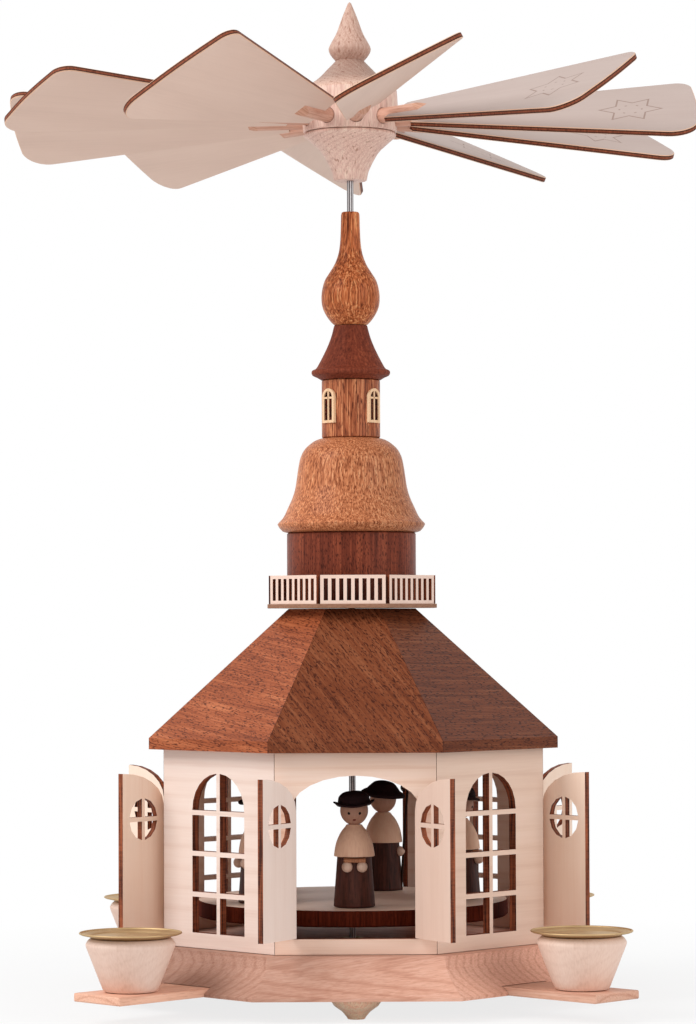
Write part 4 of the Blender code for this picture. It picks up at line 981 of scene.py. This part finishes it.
# %% Crown from patches
crown_low, crown_high = (corner.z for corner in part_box("hub_crown"))
crown_under = [(0, ROD_TOP), (GUIDE_BORE, ROD_TOP), (GUIDE_BORE, 0), (belt_radius(0) - BELT_LOW, 0),
               (belt_radius(BELT_LOW), BELT_LOW)]
crown_over = joined_runs(
    faired([(belt_radius(BELT_HIGH), BELT_HIGH), (0.0246, 0.0231), (0.0235, 0.0241), (0.0215, 0.0255),
            (0.0166, 0.0291), (0.0122, 0.0336), (0.0088, 0.0371), (0.0075, FINIAL_NECK)]),
    faired([(0.0075, FINIAL_NECK), (0.0082, 0.0392), (0.0097, 0.041), (0.0109, 0.0431), (0.0112, 0.0451),
            (0.0101, 0.0477), (0.0073, 0.0528), (0.0056, 0.0573), (0.0042, 0.0612), (0.0027, 0.065),
            (0.0009, 0.0693)]),
    [(0, crown_high - crown_low)])
patch_points, patch_faces = socketed_patch()
crown_shapes = [lathe(line, WING_COUNT * BELT_STEPS)[:2] for line in (crown_under, crown_over)]
crown_shapes += [(swung(patch_points, SECTOR * number), patch_faces) for number in range(WING_COUNT)]
crown_points, crown_faces = gathered(crown_shapes)
crown_points, crown_faces = sealed(swung(crown_points, WING_FIRST_ANGLE) + [0, 0, crown_low], crown_faces)
face_height = np.array([crown_points[face, 2].mean() for face in crown_faces]) - crown_low
end_grain, finial_wood = (
    solid_wood("beech_" + part, BEECH, 0.5, HUB_PITH, drift=(2, crown_low + low, crown_low + high, *light))
    for part, low, high, light in (
        ("cone", BELT_HIGH, CONE_DARK, (1.0, 0.58)), ("finial", FINIAL_NECK, FINIAL_LIGHT, (0.74, 0.84))))
crown_which = (face_height > BELT_HIGH).astype(int) + (face_height > FINIAL_NECK)
put("turned_hub_crown", crown_points, crown_faces, [beech, end_grain, finial_wood], "rotor",
    ["hub_crown"], crown_which, 40)
print("crown:", WING_COUNT, "sockets,", len(crown_faces), "faces")

# %% [markdown]
# A wing is a tapering plywood blade with rounded corners, glued into a slot in a round dowel.
# The blade is an outline carried through its thickness with a hair of bevel, which catches the
# light along the scorched edge; the bevel's finish is also a warm pale birch, a painted highlight
# that makes the bright line. Its own map gives metres along and across the blade, so the grain
# follows it at every angle.

# %% Blade
ROOT_LOW, ROOT_HIGH = np.array([0.034, -0.008]), np.array([0.034, 0.012])
TIP_LOW, TIP_HIGH = np.array([0.1888, -0.0368]), np.array([0.1785, 0.0388])
LOW_CORNER, HIGH_CORNER, TIP_BULGE = 0.0125, 0.0088, 0.0012
THICKNESS, ARRIS = 0.003, 0.00036


def rounded(before, corner, after, radius, steps=12):
    """Arc that rounds a corner. Its centre lies on the bisector at radius / sin(half the corner),
    and its points turn evenly from one tangent point to the other: (sin((1 - t) s) start +
    sin(t s) end) / sin s, with s the sweep."""
    back, ahead = unit(before - corner), unit(after - corner)
    half = math.acos(back @ ahead) / 2
    centre = corner + unit(back + ahead) * radius / math.sin(half)
    start, end = (corner + way * radius / math.tan(half) - centre for way in (back, ahead))
    sweep = math.pi - 2 * half
    t = np.linspace(0, 1, steps)[:, None]
    return centre + (np.sin((1 - t) * sweep) * start + np.sin(t * sweep) * end) / math.sin(sweep)


def wing_outline(steps=12):
    """Blade seen square on: straight sides, two round corners and a slanting tip bowed by half
    a wave of the sine."""
    lower = rounded(ROOT_LOW, TIP_LOW, TIP_HIGH, LOW_CORNER)
    upper = rounded(TIP_LOW, TIP_HIGH, ROOT_HIGH, HIGH_CORNER)
    along = upper[0] - lower[-1]
    t = np.linspace(0, 1, steps + 1)[1:-1, None]
    bow = lower[-1] + along * t + unit(np.array([along[1], -along[0]])) * TIP_BULGE * np.sin(math.pi * t)
    return np.vstack([ROOT_LOW, lower, bow, upper, ROOT_HIGH])


def drawn_in(outline, step):
    """Outline moved inwards by a step along its corner bisectors."""
    along = unit(unit(outline - np.roll(outline, 1, 0)) + unit(np.roll(outline, -1, 0) - outline))
    return outline + step * np.stack([-along[:, 1], along[:, 0]], 1)


def blade_shape():
    """Four rings of the outline: drawn in at both faces, full between them, and two flat caps."""
    outline = wing_outline()
    inner = drawn_in(outline, ARRIS)
    half, count = THICKNESS / 2, len(outline)
    rings = [level(ring) + [0, 0, height] for ring, height in (
        (inner, -half), (outline, -half + ARRIS), (outline, half - ARRIS), (inner, half))]
    faces = strip(4, count)[0].tolist() + [list(range(count))[::-1], list(range(3 * count, 4 * count))]
    return np.vstack(rings), faces, [3] * count + [2] * count + [3] * count + [1, 0]


print("blade:", len(wing_outline()), "points round its edge")

# %% Dowel
DOWEL_RADIUS, DOWEL_OUTER, DOWEL_SLANT = 0.004, 0.059, 0.009
DOWEL_START = SOCKET_FLOOR + 0.0003


def dowel_shape(sides=32):
    """Round dowel, cut on the slant above and below the blade: the cut's reach falls by the slant
    times the height over the radius."""
    cosine, sine = circle(sides)
    across, height = DOWEL_RADIUS * cosine, DOWEL_RADIUS * sine
    seam, middle = np.arange(1, sides // 2), sides // 2
    points = [np.stack([reach, across, height], 1) for reach in (
        np.full(sides, DOWEL_START), DOWEL_OUTER - DOWEL_SLANT * np.abs(sine))]
    points.append(np.stack([np.full(len(seam), DOWEL_OUTER), across[seam], np.zeros(len(seam))], 1))
    faces = strip(2, sides)[0].tolist() + [list(range(sides))[::-1]]
    upper = [sides + i for i in range(middle + 1)]
    lower = [sides + (sides - i) % sides for i in range(middle + 1)]
    line = [sides, *(2 * sides + np.arange(len(seam))).tolist(), sides + middle]
    for i in range(middle):
        for row, turn in ((upper, 1), (lower, -1)):
            faces.append(list(dict.fromkeys([row[i], row[i + 1], line[i + 1], line[i]]))[::turn])
    return np.vstack(points), faces, [0] * (sides + 1) + [1] * (len(faces) - sides - 1)


print("dowel:", len(dowel_shape()[1]), "faces")

# %% [markdown]
# On the upper face of each blade a six-pointed star is burnt in with a fine line, and round its
# middle runs a ring of six dots. The laser has scorched the edges, and the outer plies are
# charred darker than the core. All of it is drawn on the blade's own map.

# %% Star and scorched edge
STAR_REACH, STAR_RADIUS, STAR_LINE = 0.15, 0.0164, 0.0003
DOT_RING, DOT_HALF_ANGLE = 0.36, (0.1, 0.14)
SIXTH = math.pi / 3
CORE_HALF = (0.0003, 0.0007)


def blade_map(made, name="blade"):
    """Where the point lies on the piece's own map."""
    return parts(add(made.node_tree, "UVMap", uv_map=name))


def drawn(distance):
    """A fine line where the distance is near nothing."""
    return between(abs(distance), STAR_LINE, 2 * STAR_LINE, 1.0, 0.0)


def star_mask(u, v):
    """Line round a six-pointed star: fold the angle into one twelfth, then measure the distance to
    the straight edge from the point of the star to the notch beside it. A ring of dots lies inside."""
    along = u - STAR_REACH
    radius, angle = (along * along + v * v).step("SQRT"), v.step("ARCTAN2", along)
    folded = abs(angle - (angle / SIXTH).step("ROUND") * SIXTH)
    notch = STAR_RADIUS / math.sqrt(3)
    edge = notch * math.cos(SIXTH / 2) - STAR_RADIUS, notch * math.sin(SIXTH / 2)
    out_x, out_y = edge[1] / math.hypot(*edge), -edge[0] / math.hypot(*edge)
    x, y = radius * folded.step("COSINE") - STAR_RADIUS, radius * folded.step("SINE")
    line = drawn(x * out_x + y * out_y)
    dots = drawn(radius - STAR_RADIUS * DOT_RING) * between(folded, *DOT_HALF_ANGLE, 1.0, 0.0)
    return line.step("MAXIMUM", dots)


def wing_ply(name, kind, roughness=0.6, star=False):
    """Birch or beech whose grain follows the blade, with the star on it or not."""
    made = blank(name, roughness)
    along, across, _ = blade_map(made)
    colour, height = wood(joined(across, 0.05, along), **kind)
    if star:
        mask = star_mask(along, across)
        colour, height = mixed(mask * 0.6, colour, paint(128, 96, 80)), height - mask
    return plugged(made, colour, height, 0.00004)


def scorched_edge(name):
    """Burnt edge of the blade: burn lines across the thickness, so they change fast along it. The
    outer plies are charred darker than the core."""
    made = blank(name, 0.65)
    along, across, _ = blade_map(made)
    streak = between(speckle(joined(along, across), (900, 900, 1)), 0.2, 0.8)
    outer = between(abs(blade_map(made, "level")[0]), *CORE_HALF, 0.0, 0.85)
    colour = mixed(streak, paint(96, 46, 28), paint(160, 86, 56))
    return plugged(made, mixed(outer, colour, paint(48, 20, 12)))


FACE = dict(BIRCH, fibres=0.2, rings=0.03)
# One birch on both faces: the upper face is painted darker and greyer and the under face lighter, painted
# shade and light for how each face is lit.
SHADED_UPPER_FACE = dict(FACE, tones=((180, 159, 150), (192, 173, 165), (202, 185, 177)))
LIT_UNDER_FACE = dict(FACE, tones=((212, 184, 168), (228, 200, 184), (238, 212, 196)))
# Painted highlight on the bevel: a warm pale birch for the bright line along the scorched edge.
ARRIS_PAINTED_HIGHLIGHT = dict(BIRCH, tones=((210, 162, 130), (228, 184, 154), (238, 200, 174)))
DOWEL = dict(BEECH, tones=((176, 118, 94), (212, 162, 140), (226, 184, 162)), cracks=0.0)
DOWEL_CUT = dict(DOWEL, tones=((172, 114, 88), (206, 152, 126), (222, 174, 150)))
blade_finish = [wing_ply("birch_star_face", SHADED_UPPER_FACE, star=True), wing_ply("birch_under_face", LIT_UNDER_FACE),
                scorched_edge("scorched_edge"), wing_ply("arris_painted_highlight", ARRIS_PAINTED_HIGHLIGHT)]
dowel_finish = [wing_ply("beech_dowel", DOWEL, 0.5), wing_ply("beech_dowel_end", DOWEL_CUT)]
print("wing finishes:", [finish.name for finish in blade_finish + dowel_finish])


# %% The ten wings
WING_PITCHES = (28, 29, 29, 25, 25, 30, 29.5, 23.5, 18.5, 31.5)
WING_AXIS = crown_low + WING_LIFT


def mapped(piece, points):
    """Write metres along and across the blade into the piece's own map, and metres through its
    thickness into a second one."""
    corner = np.empty(len(piece.data.loops), np.int32)
    piece.data.loops.foreach_get("vertex_index", corner)
    for name, columns in (("blade", (0, 1)), ("level", (2, 2))):
        layer = piece.data.uv_layers.new(name=name)
        layer.data.foreach_set("uv", points[corner][:, columns].astype(np.float32).ravel())


wing_shapes = (("blade", blade_shape(), blade_finish, "birch_ply", 25),
               ("dowel", dowel_shape(), dowel_finish, "beech", 40))
for number, pitch in enumerate(WING_PITCHES):
    label = "_" + str(number + 1).zfill(2)
    node, turn = "wing" + label, WING_FIRST_ANGLE + SECTOR * number - QUARTER
    for name, (points, faces, which), finish, slot, smooth in wing_shapes:
        placed = swung(swung(points, math.radians(pitch), "X"), turn) + [0, 0, WING_AXIS]
        mapped(put(name + label, placed, faces, finish, node, [node], which, smooth), points)
print("wings:", WING_COUNT, "axis height", round(WING_AXIS, 4))

# %% [markdown]
# The figures are turned and dressed like little wooden dolls: a dark stained robe, a cape of
# plain wood, a round head with two burnt eyes, ball hands and a felt hat. A hat starts as a
# turning, and then its brim is curled up at the sides and the whole hat is set askew.

# %% Wood and felt of the figures
robe_wood = solid_wood("stained_robe", DARK_MAHOGANY, 0.55, (0.1, 0.1, 0), pores=0.3, pore_colour=(22, 8, 6),
                       tones=((40, 16, 10), (78, 38, 27), (100, 54, 40)))
cape_wood = solid_wood("cape_wood", MAPLE, 0.5, (0.2, 0.03, 0), rings=0.0,
                       tones=((220, 160, 132), (249, 200, 168), (254, 222, 194)))
face_wood = solid_wood("face_wood", MAPLE, 0.5, (0.15, 0.2, 0), rings=0.0,
                       tones=((160, 112, 94), (184, 138, 116), (200, 156, 134)))
hand_wood = solid_wood("hand_wood", MAPLE, 0.45, (0.25, 0.1, 0),
                       tones=((206, 164, 138), (226, 190, 168), (238, 208, 190)))
book_wood = solid_wood("book_wood", MAHOGANY, 0.5, (0.05, 0.3, 0), pores=0.3,
                       tones=((150, 92, 60), (182, 120, 84), (204, 146, 108)))


def felt(name, dark, light):
    """Felted hat: a fine matt nap."""
    made = blank(name, 0.85)
    nap = speckle(place_on(made), (1500, 1500, 1500), 4.0)
    return plugged(made, mixed(nap, paint(*dark), paint(*light)), nap, 0.00015, 0.8)


hat_felt = felt("black_felt", (20, 8, 9), (48, 21, 23))
dark_dot = felt("burnt_dot", (10, 4, 4), (24, 12, 10))
mouth_dot = felt("red_dot", (92, 26, 20), (120, 40, 30))
pole_dark = felt("dark_pole", (26, 14, 10), (60, 34, 24))
print("figure finishes:", robe_wood.name, cape_wood.name, hat_felt.name)

# %% Outlines of the figures
ROBE_HEIGHT, ROBE_FOOT, ROBE_TOP = 0.0266, 0.0106, 0.0087
CAPE_HEIGHT, CAPE_RADIUS = 0.0158, 0.0104
HEAD_RADIUS, HEAD_CENTRE, HEAD_HALF, HEAD_TAPER, NECK_ANGLE = 0.0072, 0.0492, 0.0078, 0.1, 0.42
BRIM_RADIUS, BRIM_HEIGHT, HAT_TOP = 0.0104, 0.0517, 0.0594
cape_low = ROBE_HEIGHT - 0.0008
robe_line = joined_runs(
    faired([(0, 0), (ROBE_FOOT - 0.0006, 0)], 3),
    faired([(ROBE_FOOT - 0.0006, 0), (ROBE_FOOT, 0.0005), (ROBE_FOOT, 0.0014)], 4),
    [(ROBE_FOOT, 0.0014), (ROBE_TOP, ROBE_HEIGHT), (0, ROBE_HEIGHT)])
cape_line = joined_runs(
    [(0, ROBE_HEIGHT - 0.0002), (ROBE_TOP - 0.0004, ROBE_HEIGHT - 0.0002), (CAPE_RADIUS - 0.0005, cape_low)],
    faired([(share * CAPE_RADIUS, cape_low + rise * CAPE_HEIGHT) for share, rise in (
        (0.975, 0.0), (1.0, 0.03), (0.965, 0.22), (0.9, 0.42), (0.8, 0.6), (0.64, 0.8), (0.48, 0.93),
        (0.38, 1.02))]),
    [(0, ROBE_HEIGHT + CAPE_HEIGHT)])
head_angle = np.linspace(NECK_ANGLE, math.pi, 22)
head_line = np.vstack([(0, HEAD_CENTRE - HEAD_HALF), np.stack([
    HEAD_RADIUS * np.sin(head_angle) * (1 - HEAD_TAPER * np.cos(head_angle) ** 3),
    HEAD_CENTRE - HEAD_HALF * np.cos(head_angle)], 1)])
head_line[-1, 0] = 0


def hat_outline(under, shares):
    """A flat ring that sits on the head, and a curve out over the brim and up the crown through
    points of reach and height over the brim."""
    ring = (HEAD_RADIUS * 0.9, BRIM_HEIGHT - under)
    brim = [(reach, BRIM_HEIGHT + rise) for reach, rise in shares]
    return joined_runs([(0, BRIM_HEIGHT - under), ring], faired([ring, *brim, (0, HAT_TOP)], 5))


crown_rise = HAT_TOP - BRIM_HEIGHT
hat_line = hat_outline(0.0002, [
    (0.0086, -0.0003), (BRIM_RADIUS, 0.0003), (BRIM_RADIUS + 0.0001, 0.0011), (0.0088, 0.0009),
    (0.0083, 0.0014), (0.0082, 0.0028), (0.0074, 0.0052), (0.0046, crown_rise - 0.0006)])
floppy_line = hat_outline(0.0004, [
    (0.0095, -0.001), (0.0114, -0.0012), (0.0121, 0.0002), (0.0108, 0.0014), (0.0092, 0.0024),
    (0.0079, 0.0041), (0.0054, crown_rise - 0.0012), (0.0026, crown_rise - 0.0003)])
print("points in robe, cape, head and hat:", *map(len, (robe_line, cape_line, head_line, hat_line)))


# %% Balls, brims and small things
BRIM_START, BRIM_BEND, BRIM_LEVEL = 0.0074, 0.0024, 0.35


def ball(radius, place, squeeze=(1, 1, 1), steps=12, sides=20):
    """A turned ball: half a circle carried round."""
    angle = np.linspace(0, math.pi, steps)
    rows = np.stack([radius * np.sin(angle), -radius * np.cos(angle)], 1)
    rows[[0, -1], 0] = 0
    points, faces = spun(rows, sides)
    return points * squeeze + np.array(place), faces


def pair(radius, place, squeeze=(1, 1, 1)):
    """Two balls, left and right."""
    return gathered([ball(radius, (side * place[0], *place[1:]), squeeze) for side in (-1, 1)])


def curled(points, curl, askew):
    """Hat with its brim curled: height grows with the square of the reach and of the sideways
    share, and the hat is tipped about its middle."""
    reach = np.hypot(points[:, 0], points[:, 1])
    sideways = np.divide(points[:, 0], reach, out=np.zeros_like(reach), where=reach > 1e-6)
    lift = curl * np.clip((reach - BRIM_START) / BRIM_BEND, 0, 1) ** 2 * (sideways**2 - BRIM_LEVEL)
    middle = np.array([0, 0, BRIM_HEIGHT])
    return swung(points + lift[:, None] * OUT - middle, askew, "Y") + middle


def tube(path, radius, sides=10):
    """A round rod along a path of points: the section lies across the path's direction."""
    line = np.array(path, float)
    along = unit(np.gradient(line, axis=0))
    first = unit(np.cross(along, [0.0, 1.0, 0.0]))
    return carried((line, first, np.cross(along, first)), radius * np.stack(circle(sides), 1), False)


def rounded_block(size, place, turn, ease):
    """A small block with eased edges: each corner of a box drawn in along two of the three axes,
    and then faces on the sides, along the edges and at the corners."""
    half = np.array(size) / 2
    signs = np.array([(x, y, z) for x in (-1, 1) for y in (-1, 1) for z in (-1, 1)], float)
    points = np.vstack([signs * (half - ease * (1 - np.eye(3)[axis])) for axis in range(3)])
    quads = [[0, 1, 3, 2], [4, 6, 7, 5], [0, 4, 5, 1], [2, 3, 7, 6], [0, 2, 6, 4], [1, 5, 7, 3]]
    faces = [[corner + number // 2 * 8 for corner in quad] for number, quad in enumerate(quads)]
    for first, second, edges in (
            (0, 8, ((0, 1), (2, 3), (4, 5), (6, 7))), (0, 16, ((0, 2), (1, 3), (4, 6), (5, 7))),
            (8, 16, ((0, 4), (1, 5), (2, 6), (3, 7)))):
        faces += [[a + first, b + first, b + second, a + second] for a, b in edges]
    faces += [[corner, corner + 8, corner + 16] for corner in range(8)]
    return swung(points, turn, "X") + np.array(place), faces


print("a ball:", len(ball(1, (0, 0, 0))[0]), "points")

# %% Five figures
FIGURE_ANGLES = (0, 86, 162, 234, 300)
FIGURE_REACH, BEARER = 0.057, 3
HAND_RADIUS, HAND_HEIGHT, HAND_REACH = 0.0028, 0.0209, -ROBE_TOP - 0.0011
BOOK_SIZE, BOOK_PLACE = (0.0112, 0.0062, 0.0018), (0, HAND_REACH + 0.0012, 0.0244)
BOOK_TILT, BOOK_EASE = 0.12, 0.0003
EYE_RADIUS, EYE_PLACE = 0.00078, (0.0027, -0.0064, 0.048)
MOUTH_RADIUS, MOUTH_PLACE = 0.0007, (0, -0.0056, 0.0447)
HOOK_RADIUS, HOOK_X, HOOK_HEIGHT, POLE_RADIUS = 0.0017, -0.0123, 0.0555, 0.0007
FLOPPY, STIFF = (floppy_line, 0.0006, -7), (hat_line, 0.0022, 3)
hook_angle = np.linspace(0, 1.5 * math.pi, 16)
crook = np.vstack([
    [(-0.0102, 0, 0.0), (-0.0112, 0, 0.018), (-0.0125, 0, 0.037), (-0.0139, 0, 0.0535)],
    np.stack([HOOK_X - HOOK_RADIUS * np.cos(hook_angle), np.zeros(len(hook_angle)),
              HOOK_HEIGHT + HOOK_RADIUS * np.sin(hook_angle)], 1)])
dressed = [
    ("robe", spun(robe_line, 48), robe_wood, "stained_wood"),
    ("cape", spun(cape_line, 48), cape_wood, "maple"), ("head", spun(head_line, 48), face_wood, "maple")]
features = [
    ("eyes", pair(EYE_RADIUS, EYE_PLACE, (1, 0.6, 1)), dark_dot, "stained_wood"),
    ("mouth", ball(MOUTH_RADIUS, MOUTH_PLACE, (1.3, 0.6, 0.8)), mouth_dot, "stained_wood")]
held_book = [
    ("hands", pair(HAND_RADIUS, (0.0038, HAND_REACH, HAND_HEIGHT)), hand_wood, "maple"),
    ("book", rounded_block(BOOK_SIZE, BOOK_PLACE, BOOK_TILT, BOOK_EASE), book_wood, "mahogany")]
held_pole = [
    ("hands", gathered([ball(HAND_RADIUS, (-0.0094, 0.0, HAND_HEIGHT)),
                        ball(HAND_RADIUS, (0.004, HAND_REACH, HAND_HEIGHT))]), hand_wood, "maple"),
    ("crook", tube(crook, POLE_RADIUS), pole_dark, "stained_wood")]
figure_parts = 0
for number, degrees in enumerate(FIGURE_ANGLES, 1):
    node = "figure_" + str(number)
    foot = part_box(node)[0].z
    bearer = number == BEARER
    (line, curl, askew), held = (FLOPPY, held_pole) if bearer else (STIFF, held_book)
    points, faces = spun(line, 48)
    hat = curled(points, curl, math.radians(askew if bearer or number % 2 == 0 else -askew)), faces
    shapes = [*dressed, ("hat", hat, hat_felt, "stained_wood"), *features, *held]
    for part, (points, faces), material, slot in shapes:
        placed = swung(points + [0, -FIGURE_REACH, foot], math.radians(degrees))
        put(node + "_" + part, placed, faces, [material], "rotor", [node], smooth=40)
    figure_parts += len(shapes)
print("figures:", len(FIGURE_ANGLES), "parts:", figure_parts)

# %% The size of the finished object
low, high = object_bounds()
print("finished box", [round(size, 4) for size in high - low])
